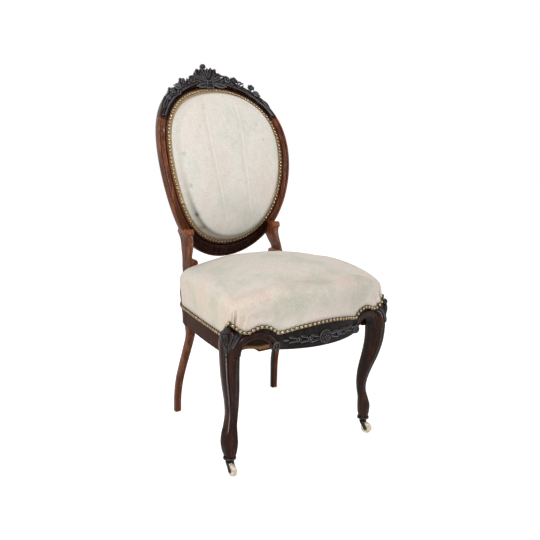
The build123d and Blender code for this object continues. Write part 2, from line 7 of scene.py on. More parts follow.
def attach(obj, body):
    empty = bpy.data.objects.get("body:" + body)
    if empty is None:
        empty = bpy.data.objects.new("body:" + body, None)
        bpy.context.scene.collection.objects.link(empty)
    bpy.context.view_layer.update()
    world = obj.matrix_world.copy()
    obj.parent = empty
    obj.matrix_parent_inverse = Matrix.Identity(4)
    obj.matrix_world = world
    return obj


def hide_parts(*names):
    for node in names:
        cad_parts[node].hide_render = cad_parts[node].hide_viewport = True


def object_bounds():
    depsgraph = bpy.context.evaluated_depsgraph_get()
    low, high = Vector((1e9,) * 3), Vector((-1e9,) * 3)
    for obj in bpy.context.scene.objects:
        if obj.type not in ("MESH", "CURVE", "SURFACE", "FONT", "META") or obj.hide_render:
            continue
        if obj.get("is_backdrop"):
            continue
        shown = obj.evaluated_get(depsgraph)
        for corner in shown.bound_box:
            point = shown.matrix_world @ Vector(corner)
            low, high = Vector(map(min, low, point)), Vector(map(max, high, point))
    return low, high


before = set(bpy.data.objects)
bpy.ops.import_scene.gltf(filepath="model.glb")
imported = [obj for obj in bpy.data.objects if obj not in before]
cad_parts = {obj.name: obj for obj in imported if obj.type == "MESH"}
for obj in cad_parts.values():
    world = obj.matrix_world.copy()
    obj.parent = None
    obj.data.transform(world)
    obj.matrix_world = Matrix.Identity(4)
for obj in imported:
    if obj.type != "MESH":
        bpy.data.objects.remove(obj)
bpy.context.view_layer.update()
mm = 0.001
sides = ((1, "right"), (-1, "left"))
random.seed(11)


# small tools: all shapes are worked out in millimetres

def addMesh(name, points, faces, sharpAngle=50):
    mesh = bpy.data.meshes.new(name)
    mesh.from_pydata([(x * mm, y * mm, z * mm) for x, y, z in points], [], faces)
    mesh.validate()
    piece = bpy.data.objects.new(name, mesh)
    bpy.context.scene.collection.objects.link(piece)
    mesh.shade_smooth()
    mesh.set_sharp_from_angle(angle=math.radians(sharpAngle))
    return piece


def bandFaces(faces, start, bands, count):
    # quads between rings of points that follow each other in one list
    for i in range(bands):
        near, far = start + i * count, start + (i + 1) * count
        for j in range(count):
            k = (j + 1) % count
            faces.append((near + j, near + k, far + k, far + j))


def skinRows(rows, startCap=True):
    # a skin over rows of points, each row a loop round the form
    count = len(rows[0])
    points = [p for row in rows for p in row]
    faces = []
    bandFaces(faces, 0, len(rows) - 1, count)
    if startCap:
        faces.append(tuple(range(count))[::-1])
    faces.append(tuple(range((len(rows) - 1) * count, len(rows) * count)))
    return points, faces


def facesOutward(piece):
    bpy.context.view_layer.objects.active = piece
    bpy.ops.object.select_all(action="DESELECT")
    piece.select_set(True)
    bpy.ops.object.mode_set(mode="EDIT")
    bpy.ops.mesh.select_all(action="SELECT")
    bpy.ops.mesh.normals_make_consistent(inside=False)
    bpy.ops.object.mode_set(mode="OBJECT")


def joinAll(name, pieces):
    bpy.ops.object.select_all(action="DESELECT")
    for piece in pieces:
        piece.select_set(True)
    bpy.context.view_layer.objects.active = pieces[0]
    bpy.ops.object.join()
    pieces[0].name = name
    pieces[0].data.name = name
    return pieces[0]


def remeshed(piece, voxel, smoothing):
    # melts overlapping lumps into one carved surface
    bpy.context.view_layer.objects.active = piece
    melt = piece.modifiers.new("melt", "REMESH")
    melt.mode = "VOXEL"
    melt.voxel_size = voxel * mm
    melt.use_smooth_shade = True
    soften = piece.modifiers.new("soften", "SMOOTH")
    soften.factor = 0.5
    soften.iterations = smoothing
    for modifier in list(piece.modifiers):
        bpy.ops.object.modifier_apply(modifier=modifier.name)
    piece.data.shade_smooth()


def thickened(piece, thick):
    # gives a cloth surface its thickness, on the inside
    shell = piece.modifiers.new("thickness", "SOLIDIFY")
    shell.thickness = thick * mm
    shell.offset = -1
    bpy.context.view_layer.objects.active = piece
    bpy.ops.object.modifier_apply(modifier=shell.name)


def dress(piece, body, material, replaced=()):
    # hangs a finished piece on its body and gives it its finish
    piece.data.materials.clear()
    piece.data.materials.append(material)
    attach(piece, body)
    if replaced:
        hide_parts(*replaced)


def between(value, table):
    # smooth curve through a table of (key, value, value, ...) rows
    last = len(table) - 1
    if value <= table[0][0]:
        return table[0][1:]
    if value >= table[last][0]:
        return table[last][1:]
    i = max(k for k in range(last) if table[k][0] <= value)
    a, b = table[i], table[i + 1]
    before = table[max(i - 1, 0)]
    after = table[min(i + 2, last)]
    span = b[0] - a[0]
    t = (value - a[0]) / span
    result = []
    for k in range(1, len(a)):
        leave = (b[k] - before[k]) / (b[0] - before[0]) * span
        arrive = (after[k] - a[k]) / (after[0] - a[0]) * span
        result.append((2 * t ** 3 - 3 * t ** 2 + 1) * a[k] + (t ** 3 - 2 * t ** 2 + t) * leave
                      + (3 * t ** 2 - 2 * t ** 3) * b[k] + (t ** 3 - t ** 2) * arrive)
    return result


def smoothStep(low, high, value):
    # from 0 at low to 1 at high, which may be the smaller of the two
    t = min(1, max(0, (value - low) / (high - low)))
    return t * t * (3 - 2 * t)


def hump(value, centre, width):
    return math.exp(-((value - centre) / width) ** 2)


def mirrored(points):
    return [(-x, y, z) for x, y, z in points]


def onSide(points, side):
    # made for the right side, mirrored for the left
    return points if side > 0 else mirrored(points)


def ring(count, first=0.0):
    # angles of evenly spaced points round a circle
    return [2 * math.pi * (k + first) / count for k in range(count)]


# materials

def newMaterial(name):
    material = bpy.data.materials.new(name)
    material.use_nodes = True
    nodes = material.node_tree.nodes
    nodes.clear()
    out = nodes.new("ShaderNodeOutputMaterial")
    shader = nodes.new("ShaderNodeBsdfPrincipled")
    material.node_tree.links.new(shader.outputs["BSDF"], out.inputs["Surface"])
    return material, nodes, material.node_tree.links, shader


def colourRamp(nodes, stops):
    ramp = nodes.new("ShaderNodeValToRGB")
    while len(ramp.color_ramp.elements) < len(stops):
        ramp.color_ramp.elements.new(0.5)
    for element, (place, colour) in zip(ramp.color_ramp.elements, stops):
        element.position = place
        element.color = (*colour, 1)
    return ramp


def noiseNode(nodes, links, stretch, detail, roughness=0.55):
    # noise in the piece's own frame, finer along an axis with a larger stretch
    place = nodes.new("ShaderNodeTexCoord")
    mapping = nodes.new("ShaderNodeMapping")
    mapping.inputs["Scale"].default_value = stretch
    links.new(place.outputs["Object"], mapping.inputs["Vector"])
    node = nodes.new("ShaderNodeTexNoise")
    node.inputs["Scale"].default_value = 1.0
    node.inputs["Detail"].default_value = detail
    node.inputs["Roughness"].default_value = roughness
    links.new(mapping.outputs["Vector"], node.inputs["Vector"])
    return node


def mixColour(nodes, links, share, first, second, mode="MIX"):
    mix = nodes.new("ShaderNodeMix")
    mix.data_type = "RGBA"
    mix.blend_type = mode
    for socket, value in ((mix.inputs[0], share), (mix.inputs[6], first), (mix.inputs[7], second)):
        if isinstance(value, (int, float)):
            socket.default_value = value
        elif isinstance(value, tuple):
            socket.default_value = (*value, 1)
        else:
            links.new(value, socket)
    return mix.outputs[2]


def mathNode(nodes, links, operation, first, second):
    node = nodes.new("ShaderNodeMath")
    node.operation = operation
    for socket, value in ((node.inputs[0], first), (node.inputs[1], second)):
        if isinstance(value, (int, float)):
            socket.default_value = value
        else:
            links.new(value, socket)
    return node.outputs[0]


def spanNode(nodes, links, value, source=(0, 1), target=(0, 1)):
    # carries the value from one range to another
    node = nodes.new("ShaderNodeMapRange")
    for name, number in zip(("From Min", "From Max", "To Min", "To Max"), (*source, *target)):
        node.inputs[name].default_value = number
    links.new(value, node.inputs["Value"])
    return node.outputs["Result"]


def bumpNode(nodes, links, height, strength, distance, under=None):
    node = nodes.new("ShaderNodeBump")
    node.inputs["Strength"].default_value = strength
    node.inputs["Distance"].default_value = distance
    links.new(height, node.inputs["Height"])
    if under is not None:
        links.new(under, node.inputs["Normal"])
    return node.outputs["Normal"]


def shadeOver(nodes, links, share, colour, value, stops):
    # multiplies a colour by a ramp of shades
    ramp = colourRamp(nodes, stops)
    links.new(value, ramp.inputs["Fac"])
    return mixColour(nodes, links, share, colour, ramp.outputs["Color"], "MULTIPLY")


def polishedWood(name, dark, middle, light, grain, gloss, rubAndHighlightAmount, shine, coat, rubAndHighlight=None):
    # dark polished wood: long grain, pores, high spots paler from rubbed wear and painted highlight
    material, nodes, links, shader = newMaterial(name)
    bands = noiseNode(nodes, links, grain, 8, 0.62)
    figure = colourRamp(nodes, [(0.30, dark), (0.52, middle), (0.74, light)])
    links.new(bands.outputs["Fac"], figure.inputs["Fac"])
    pores = noiseNode(nodes, links, tuple(8 * g for g in grain), 3, 0.6)
    pored = shadeOver(nodes, links, 0.55, figure.outputs["Color"], pores.outputs["Fac"],
                      [(0.36, (0.35, 0.35, 0.35)), (0.52, (1, 1, 1))])
    # the high spots are paler, in patches: rubbed wear, and on the carving a painted blue-grey highlight
    pointed = nodes.new("ShaderNodeNewGeometry").outputs["Pointiness"]
    rubbed = colourRamp(nodes, [(0.505, (0, 0, 0)), (0.575, (1, 1, 1))])
    links.new(pointed, rubbed.inputs["Fac"])
    patches = noiseNode(nodes, links, (18, 18, 18), 3).outputs["Fac"]
    rubAndHighlightShare = mathNode(nodes, links, "MULTIPLY", rubbed.outputs["Color"], patches)
    rubAndHighlightShare = mathNode(nodes, links, "MULTIPLY", rubAndHighlightShare, rubAndHighlightAmount)
    edged = mixColour(nodes, links, rubAndHighlightShare, pored, rubAndHighlight or tuple(min(1, 2.1 * c) for c in light))
    # painted shade darkens the hollows
    shaded = shadeOver(nodes, links, 0.9, edged, pointed, [(0.40, (0.10, 0.09, 0.09)), (0.485, (1, 1, 1))])
    links.new(shaded, shader.inputs["Base Color"])
    rough = spanNode(nodes, links, patches, target=(gloss - 0.08, gloss + 0.08))
    links.new(rough, shader.inputs["Roughness"])
    links.new(bumpNode(nodes, links, pores.outputs["Fac"], 0.08, 0.0006), shader.inputs["Normal"])
    shader.inputs["Specular IOR Level"].default_value = shine
    shader.inputs["Coat Weight"].default_value = coat
    shader.inputs["Coat Roughness"].default_value = 0.09
    return material


woods = {
    # the carving's pale blue-grey rub colour is a painted highlight on its high spots
    "carved": dict(dark=(0.003, 0.0025, 0.0025), middle=(0.007, 0.0045, 0.004), light=(0.020, 0.009, 0.006),
                   grain=(70, 70, 14), gloss=0.22, rubAndHighlightAmount=1.8, shine=0.04, coat=0.07, rubAndHighlight=(0.34, 0.33, 0.36)),
    "rail": dict(dark=(0.004, 0.0018, 0.0012), middle=(0.017, 0.005, 0.003), light=(0.065, 0.018, 0.008),
                 grain=(8, 90, 90), gloss=0.40, rubAndHighlightAmount=0.3, shine=0.04, coat=0.0),
    "ground": dict(dark=(0.006, 0.005, 0.0045), middle=(0.016, 0.012, 0.010), light=(0.034, 0.026, 0.021),
                   grain=(90, 90, 60), gloss=0.40, rubAndHighlightAmount=0.2, shine=0.07, coat=0.05),
    "leg": dict(dark=(0.006, 0.0025, 0.002), middle=(0.022, 0.007, 0.004), light=(0.072, 0.021, 0.010),
                grain=(90, 90, 8), gloss=0.24, rubAndHighlightAmount=0.7, shine=0.08, coat=0.13),
    "polished": dict(dark=(0.020, 0.006, 0.003), middle=(0.085, 0.023, 0.009), light=(0.270, 0.085, 0.032),
                     grain=(90, 90, 8), gloss=0.28, rubAndHighlightAmount=0.5, shine=0.10, coat=0.14),
    # the raw wood is kept dark as painted shade under the seat
    "raw": dict(dark=(0.016, 0.009, 0.005), middle=(0.030, 0.016, 0.008), light=(0.050, 0.028, 0.014),
                grain=(14, 90, 90), gloss=0.62, rubAndHighlightAmount=0.1, shine=0.1, coat=0.0),
}
carvedWood = polishedWood("carvedWood", **woods["carved"])
groundWood = polishedWood("groundWood", **woods["ground"])
railWood = polishedWood("railWood", **woods["rail"])
legWood = polishedWood("legWood", **woods["leg"])
polishedStile = polishedWood("polishedStile", **woods["polished"])
rawWood = polishedWood("rawWood", **woods["raw"])


def localAxes(nodes, links, output):
    # x, y and z of a place or a normal in the piece's own frame
    source = nodes.new("ShaderNodeTexCoord")
    axes = nodes.new("ShaderNodeSeparateXYZ")
    links.new(source.outputs[output], axes.inputs["Vector"])
    return axes.outputs


def recoloured(material, share, change):
    # lays a second colour over the wood's own where share is 1
    nodes, links = material.node_tree.nodes, material.node_tree.links
    base = nodes["Principled BSDF"].inputs["Base Color"]
    shown = base.links[0].from_socket
    links.new(mixColour(nodes, links, share, shown, change(nodes, links, shown)), base)


def paintedLitStrip(material, low, high, colour):
    # a painted lit strip between two heights, on wood kept dark as painted shade
    nodes, links = material.node_tree.nodes, material.node_tree.links
    start, length, soft = 300, 60, 2
    height = spanNode(nodes, links, localAxes(nodes, links, "Object")["Z"],
                      (start * mm, (start + length) * mm))
    litBand = colourRamp(nodes, [((low - soft - start) / length, (0, 0, 0)),
                               ((low - start) / length, (1, 1, 1)),
                               ((high - 1 - start) / length, (1, 1, 1)),
                               ((high + soft - start) / length, (0, 0, 0))])
    links.new(height, litBand.inputs["Fac"])
    recoloured(material, litBand.outputs["Color"], lambda nodes, links, shown: colour)


# painted light along a low strip of the raw wood
paintedLitStrip(rawWood, 307, 314, (0.34, 0.16, 0.07))


def paintedShadeInside(material, height, share):
    # painted shade: the faces turned to the chair's middle below the seat are darkened
    nodes, links = material.node_tree.nodes, material.node_tree.links
    spots, facing = localAxes(nodes, links, "Object"), localAxes(nodes, links, "Normal")
    turned = mathNode(nodes, links, "MULTIPLY", spots["X"], facing["X"])
    inner = spanNode(nodes, links, turned, (-0.03, -0.07))
    low = spanNode(nodes, links, spots["Z"], (height + 0.02, height - 0.02))
    recoloured(material, mathNode(nodes, links, "MULTIPLY", inner, low),
               lambda nodes, links, shown: mixColour(nodes, links, 1.0, shown, (share, share, share),
                                                     "MULTIPLY"))


paintedShadeInside(polishedStile, 0.37, 0.10)


def velvetCloth(name, base, blush, shade):
    # worn cream velvet: broad stains, brushed pile, fine nap
    material, nodes, links, shader = newMaterial(name)
    broad = noiseNode(nodes, links, (7, 7, 5), 4, 0.6)
    tone = colourRamp(nodes, [(0.34, shade), (0.50, base), (0.68, blush)])
    links.new(broad.outputs["Fac"], tone.inputs["Fac"])
    colour = tone.outputs["Color"]
    heights = {}
    layers = {   # stretch, detail, roughness, share, shades
        "mottle": ((60, 60, 60), 5, 0.7, 0.55, [(0.30, (0.88, 0.86, 0.83)), (0.62, (1, 1, 1))]),
        "nap": ((900, 900, 600), 3, 0.7, 0.6, [(0.30, (0.88, 0.87, 0.85)), (0.60, (1, 1, 1))]),
        "flecks": ((330, 330, 260), 4, 0.8, 0.8,
                   [(0.34, (0.80, 0.78, 0.74)), (0.52, (1, 1, 1)), (0.68, (1.10, 1.09, 1.07))]),
    }
    for layer, (stretch, detail, roughness, share, shades) in layers.items():
        grain = noiseNode(nodes, links, stretch, detail, roughness)
        heights[layer] = grain.outputs["Fac"]
        colour = shadeOver(nodes, links, share, colour, heights[layer], shades)
    # the cloth is multiplied by its stains, painted shade and painted highlight
    soilAndPaintedLight = nodes.new("ShaderNodeAttribute")
    soilAndPaintedLight.attribute_name = "soilAndPaintedLight"
    colour = mixColour(nodes, links, 1.0, colour, soilAndPaintedLight.outputs["Color"], "MULTIPLY")
    links.new(colour, shader.inputs["Base Color"])
    shader.inputs["Roughness"].default_value = 0.92
    shader.inputs["Sheen Weight"].default_value = 0.35
    shader.inputs["Sheen Roughness"].default_value = 0.45
    shader.inputs["Sheen Tint"].default_value = (0.95, 0.90, 0.84, 1)
    pile = bumpNode(nodes, links, heights["nap"], 0.35, 0.0008)
    folds = bumpNode(nodes, links, heights["mottle"], 0.30, 0.004, under=pile)
    links.new(folds, shader.inputs["Normal"])
    return material


def paintSoilAndLight(piece, shadeAt):
    # colour that the cloth is multiplied by, from each point's place in millimetres: stains, painted shade
    # and painted highlight
    layer = piece.data.color_attributes.new("soilAndPaintedLight", "FLOAT_COLOR", "POINT")
    for vertex, paint in zip(piece.data.vertices, layer.data):
        paint.color = (*shadeAt(*(c / mm for c in vertex.co)), 1)


seatVelvet = velvetCloth("seatVelvet", base=(0.62, 0.565, 0.505), blush=(0.64, 0.535, 0.48),
                         shade=(0.48, 0.475, 0.405))
backVelvet = velvetCloth("backVelvet", base=(0.665, 0.64, 0.59), blush=(0.68, 0.61, 0.56),
                         shade=(0.565, 0.565, 0.50))


def metalFinish(name, colour, rough, patina, wearAndPaintedLight=False):
    material, nodes, links, shader = newMaterial(name)
    spots = noiseNode(nodes, links, (300, 300, 300), 4, 0.6)
    tone = colourRamp(nodes, [(0.35, patina), (0.60, colour)])
    links.new(spots.outputs["Fac"], tone.inputs["Fac"])
    surface = tone.outputs["Color"]
    # painted highlight on the crown and painted shade on the skirt; the skirt's metal fades with the same
    # shade
    if wearAndPaintedLight:      # bright crown, dark skirt
        crownShade = nodes.new("ShaderNodeAttribute")
        crownShade.attribute_name = "soilAndPaintedLight"
        surface = mixColour(nodes, links, 1.0, surface, crownShade.outputs["Color"], "MULTIPLY")
        links.new(crownShade.outputs["Fac"], shader.inputs["Metallic"])
        shader.inputs["Specular IOR Level"].default_value = 0.1
    links.new(surface, shader.inputs["Base Color"])
    spread = spanNode(nodes, links, spots.outputs["Fac"], target=(rough + 0.18, rough - 0.06))
    links.new(spread, shader.inputs["Roughness"])
    shader.inputs["Metallic"].default_value = 1.0
    return material


nailBrass = metalFinish("nailBrass", colour=(0.52, 0.385, 0.225), rough=0.24, patina=(0.26, 0.175, 0.095),
                        wearAndPaintedLight=True)
blackIron = metalFinish("blackIron", colour=(0.060, 0.056, 0.052), rough=0.42, patina=(0.020, 0.018, 0.016))
springWire = metalFinish("springWire", colour=(0.35, 0.33, 0.30), rough=0.40, patina=(0.16, 0.09, 0.05))


def glazedWheel(name):
    material, nodes, links, shader = newMaterial(name)
    stain = noiseNode(nodes, links, (120, 120, 120), 5, 0.65)
    tone = colourRamp(nodes, [(0.30, (0.26, 0.20, 0.13)), (0.50, (0.60, 0.52, 0.40)),
                              (0.72, (0.78, 0.73, 0.62))])
    links.new(stain.outputs["Fac"], tone.inputs["Fac"])
    links.new(tone.outputs["Color"], shader.inputs["Base Color"])
    shader.inputs["Roughness"].default_value = 0.38
    shader.inputs["Coat Weight"].default_value = 0.3
    return material


creamWheel = glazedWheel("creamWheel")


def wovenJute(name, base, dark, pitch=420):
    # plain weave from two crossed waves
    material, nodes, links, shader = newMaterial(name)
    place = nodes.new("ShaderNodeTexCoord")
    heights = []
    for axis in ("X", "Y"):
        wave = nodes.new("ShaderNodeTexWave")
        wave.bands_direction = axis
        wave.inputs["Scale"].default_value = pitch
        wave.inputs["Distortion"].default_value = 1.2
        links.new(place.outputs["Object"], wave.inputs["Vector"])
        heights.append(wave.outputs["Fac"])
    crossed = mathNode(nodes, links, "MAXIMUM", *heights)
    tone = colourRamp(nodes, [(0.25, dark), (0.85, base)])
    links.new(crossed, tone.inputs["Fac"])
    links.new(tone.outputs["Color"], shader.inputs["Base Color"])
    links.new(bumpNode(nodes, links, crossed, 0.6, 0.0008), shader.inputs["Normal"])
    shader.inputs["Roughness"].default_value = 0.95
    return material


juteWeb = wovenJute("juteWeb", base=(0.46, 0.33, 0.18), dark=(0.20, 0.13, 0.06))
hessianCloth = wovenJute("hessianCloth", base=(0.42, 0.31, 0.17), dark=(0.22, 0.15, 0.08), pitch=700)
print("materials made")


# the bent oval back

backShape = {
    "waistHeight": 612, "waistLine": 138, "bendAbove": 482, "bendBelow": 350,
    "middle": 692, "halfWidth": 175, "halfHeight": 209.5, "lift": 0.14, "square": -0.045,
    "rim": 29.5, "rimBottom": 45, "thick": 23,
    "crestJoint": 37.5, "footJoint": 232,
}


def bendLine(height, depth):
    # y of the back at this height, this deep behind its front
    bend = backShape["bendAbove"] if height > backShape["waistHeight"] else backShape["bendBelow"]
    run = height - backShape["waistHeight"]
    return backShape["waistLine"] + bend - math.sqrt(max(1.0, (bend - depth) ** 2 - run ** 2))


def onBack(x, height, rise=0.0):
    # a point that stands out from the back's front by rise
    bend = backShape["bendAbove"] if height > backShape["waistHeight"] else backShape["bendBelow"]
    run = height - backShape["waistHeight"]
    lean = math.asin(max(-1, min(1, run / bend)))
    return Vector((x, bendLine(height, 0) - rise * math.cos(lean), height + rise * math.sin(lean)))


def eggPoint(turn, grow=0.0):
    # the oval's outline, moved outwards by grow
    s = backShape
    x = s["halfWidth"] * (math.cos(turn) + s["lift"] * math.cos(turn) * math.sin(turn)
                          + s["square"] * math.cos(3 * turn))
    z = s["halfHeight"] * math.sin(turn)
    dx = s["halfWidth"] * (-math.sin(turn) + s["lift"] * math.cos(2 * turn)
                           - 3 * s["square"] * math.sin(3 * turn))
    dz = s["halfHeight"] * math.cos(turn)
    run = math.hypot(dx, dz)
    return x + grow * dz / run, s["middle"] + z - grow * dx / run


def extraAt(turn):
    # the rim is deeper at the bottom
    return (backShape["rimBottom"] - backShape["rim"]) * max(0.0, -math.sin(turn)) ** 4


def turnAt(angle):
    # the outline's own parameter where a spoke at this angle crosses it
    best = min(range(3600), key=lambda i: abs(((math.degrees(math.atan2(
        eggPoint(math.radians(i / 10), 12)[1] - backShape["middle"],
        eggPoint(math.radians(i / 10), 12)[0])) - angle + 180) % 360) - 180))
    return math.radians(best / 10)


moulding = {
    "innerBead": (3.2, 6.6, 2.0), "groove": (7.2, 10.2, 6.8), "flatStart": 11.2, "flatDepth": 3.2,
    "outerBead": 2.8, "beadGap": 1.7, "backRound": 2.5, "ledge": 8.0, "lip": -8.0,
}


def mouldingProfile(turn):
    # (distance outwards from the nail line, depth behind the front) round the frame's section
    m = moulding
    rim = backShape["rim"] + extraAt(turn)
    start, stop, top = m["innerBead"]
    radius = (stop - start) / 2
    points = [(m["lip"], m["ledge"]), (start - 0.6, m["ledge"]), (start, top + radius + 1.5)]
    for i in range(9):
        a = math.pi - math.pi * i / 8
        points.append((start + radius + radius * math.cos(a), top + radius - radius * math.sin(a)))
    points += [(m["groove"][0], m["groove"][2]), (m["groove"][1], m["groove"][2]),
               (m["flatStart"], m["flatDepth"])]
    beadStart = rim - 2 * m["outerBead"]
    for i in range(1, 7):   # the broad flat is slightly hollow
        t = i / 7
        points.append((m["flatStart"] + (beadStart - m["beadGap"] - m["flatStart"]) * t,
                       m["flatDepth"] + 1.1 * math.sin(math.pi * t)))
    points += [(beadStart - m["beadGap"], m["flatDepth"] + 0.6),
               (beadStart - m["beadGap"] + 0.4, m["flatDepth"] + 2.8),
               (beadStart - 0.2, m["flatDepth"] + 2.8), (beadStart, m["outerBead"] + 0.9)]
    for i in range(9):
        a = math.pi - math.pi * i / 8
        points.append((rim - m["outerBead"] + m["outerBead"] * math.cos(a),
                       m["outerBead"] - m["outerBead"] * math.sin(a)))
    points += [(rim, 9), (rim - 0.4, 15), (rim - 0.4, backShape["thick"] - m["backRound"]),
               (rim - 1.2, backShape["thick"] - 0.7), (rim - 0.4 - m["backRound"], backShape["thick"]),
               (rim * 0.5, backShape["thick"]), (m["lip"] + 2, backShape["thick"]),
               (m["lip"], backShape["thick"] - 2), (m["lip"], 14)]
    return points


def mouldedPiece(name, start, stop):
    # one sawn and moulded member of the oval, between two joints
    steps = max(24, int(abs(stop - start) / math.radians(1.3)))
    rows = []
    for i in range(steps + 1):
        turn = start + (stop - start) * i / steps
        row = []
        for grow, depth in mouldingProfile(turn):
            x, z = eggPoint(turn, grow)
            row.append((x, bendLine(z, depth), z))
        rows.append(row)
    piece = addMesh(name, *skinRows(rows), sharpAngle=38)
    facesOutward(piece)
    return piece


crestTurn = turnAt(backShape["crestJoint"])
footTurn = turnAt(360 - (backShape["footJoint"] - 180))
hair = 0.0015   # joint line between members
members = {
    "crestRail": (crestTurn + hair, math.pi - crestTurn - hair, "crest_rail", "carved_wood", legWood),
    "stileRight": (footTurn - 2 * math.pi + hair, crestTurn - hair, "back_stile_right", "polished_wood",
                   polishedStile),
    "stileLeft": (math.pi - crestTurn + hair, 3 * math.pi - footTurn - hair, "back_stile_left",
                  "polished_wood", polishedStile),
    # the bottom rail takes the darker leg wood as painted shade, as it faces down
    "bottomRail": (3 * math.pi - footTurn + hair, footTurn - hair, "back_bottom_rail", "polished_wood",
                   legWood),
}
for name, (start, stop, node, slot, material) in members.items():
    dress(mouldedPiece(name, start, stop), "chair", material, [node])
print("oval frame made")


# back upholstery

backPad = {
    "rim": [              # inset from the nail line, rise in front of the moulding's front
        (0.6, -6.6), (2, -6.0), (4, -5.8), (6.5, -5.4), (8.5, -3.6), (10.5, -0.4), (12.5, 3.6), (14.5, 7.8),
        (16.5, 11.2),
        (18.5, 13.4), (21, 14.9), (24, 15.8)],
    "rise": 20, "spacing": 2.6, "shrinkFrom": 60, "middle": 166, "columns": 340, "cloth": 1.4,
    "rear": [(-3, 23.0), (-2.6, 24.2), (0, 24.6), (8, 24.8), (30, 25.0), (70, 25.0), (120, 25.0),
             (166, 25.0)],
    "creases": [[(881, -47), (820, -56), (742, -55), (676, -46), (622, -37), (538, -19)],
                [(860, 44), (807, 45), (700, 41), (617, 48), (531, 62)]],
    "stains": [(-140, 734, 5), (-129, 651, 5), (-112, 573, 6), (-92, 533, 7)],
    "specks": [(-82, 802, 2.6), (93, 807, 3.5), (106, 766, 4), (-60, 850, 2.4), (20, 760, 2.0)],
}


def creaseAt(x, z):
    # signed distance from the nearer of two soft upright lines that the pile has taken
    best = 99
    for line in backPad["creases"]:
        for (zHigh, xHigh), (zLow, xLow) in zip(line, line[1:]):
            if zLow <= z <= zHigh:
                off = x - xLow - (xHigh - xLow) * (z - zLow) / (zHigh - zLow)
                best = off if abs(off) < abs(best) else best
    return best


def creaseLift(x, z):
    off = creaseAt(x, z)
    return 1.0 * hump(off, 0, 3.0) - 0.7 * hump(off, -7, 4.5)


def padPlace(turn, inset):
    # x and z on a ring this far in from the nail line; towards the middle the rings shrink to a point
    start, middle = backPad["shrinkFrom"], backPad["middle"]
    if inset <= start:
        return eggPoint(turn, -inset)
    x, z = eggPoint(turn, -start)
    share = (middle - inset) / (middle - start)
    return x * share, backShape["middle"] + (z - backShape["middle"]) * share


def padSurface(turn, inset, rise):
    x, z = padPlace(turn, inset)
    soft = noise.noise(Vector((x * 0.012, z * 0.012, 3.1))) * 1.6
    soft += creaseLift(x, z)
    return onBack(x, z, rise + soft * smoothStep(6, 24, inset))


rings = list(backPad["rim"])
rimInset, rimRise = rings[-1]
while rings[-1][0] < backPad["middle"] - backPad["spacing"]:
    inset = rings[-1][0] + backPad["spacing"]
    rings.append((inset, backPad["rise"] - (backPad["rise"] - rimRise) * math.exp(-(inset - rimInset) / 30)))
rows = []
for inset, rise in rings:
    rows.append([tuple(padSurface(2 * math.pi * j / backPad["columns"], inset, rise))
                 for j in range(backPad["columns"])])
backCover = addMesh("backCover", *skinRows(rows, startCap=False), sharpAngle=80)
facesOutward(backCover)
thickened(backCover, backPad["cloth"])
nailLine = kdtree.KDTree(720)
for i in range(720):
    x, z = eggPoint(math.radians(i / 2))
    nailLine.insert((x, z, 0), i)
nailLine.balance()


def backStainsAndShade(x, y, z):
    # painted shade under the pad's edge, strongest on the lower side, and in the gutter along the nails; a
    # painted highlight on each crease with painted shade beside it; a few stains
    _, i, away = nailLine.find((x, z, 0))
    turn = math.radians(i / 2)
    lowSide = smoothStep(-0.1, 0.9, -math.sin(turn))
    leftSide = smoothStep(0.2, 0.9, -math.cos(turn))
    padShade = (0.58 * lowSide + 0.16 * leftSide) * hump(away, 19, 5.5) + 0.9 * hump(away, 0.4, 2.8)
    off = creaseAt(x, z)
    creaseLight = (0.09 * hump(off, 0.5, 2.6) - 0.12 * hump(off, -4.5, 3.0)) * (1 if x < 10 else 0.6)
    mark = sum(0.35 * hump(math.hypot(x - sx, z - sz), 0, size) for sx, sz, size in backPad["stains"])
    pink = sum(0.30 * hump(math.hypot(x - sx, z - sz), 0, size) for sx, sz, size in backPad["specks"])
    level = 1 - padShade + creaseLight - mark
    return (level * (1 - 0.3 * pink), level * (1 - pink) * (1 - 0.03 * padShade),
            level * (1 - pink) * (1 - 0.12 * padShade))


paintSoilAndLight(backCover, backStainsAndShade)
dress(backCover, "chair", backVelvet, ["back_cover_front", "back_stuffing"])

rows = []
for inset, depth in backPad["rear"]:
    flat = [padPlace(turn, inset) for turn in ring(160)]
    rows.append([(x, bendLine(z, depth), z) for x, z in flat])
rearCover = addMesh("rearCover", *skinRows(rows, startCap=False), sharpAngle=80)
facesOutward(rearCover)
paintSoilAndLight(rearCover, lambda x, y, z: (0.95, 0.95, 0.94))
dress(rearCover, "chair", backVelvet, ["back_cover_rear"])
print("back upholstered")


# nails

# radius and rise, in radii
headRings = [(0.96, -0.30), (1.0, 0.0), (0.93, 0.36), (0.72, 0.68), (0.38, 0.90)]
headSides = 12


def nailHead(points, faces, centre, outward, radius):
    # one domed brass head
    outward = outward.normalized()
    side = outward.orthogonal().normalized()
    other = outward.cross(side)
    start = len(points)
    for wide, high in headRings:
        for a in ring(headSides):
            p = centre + radius * (wide * (math.cos(a) * side + math.sin(a) * other) + high * outward)
            points.append(tuple(p))
    points.append(tuple(centre + radius * 0.96 * outward))
    bandFaces(faces, start, len(headRings) - 1, headSides)
    last = start + (len(headRings) - 1) * headSides
    for k in range(headSides):
        faces.append((last + k, last + (k + 1) % headSides, len(points) - 1))


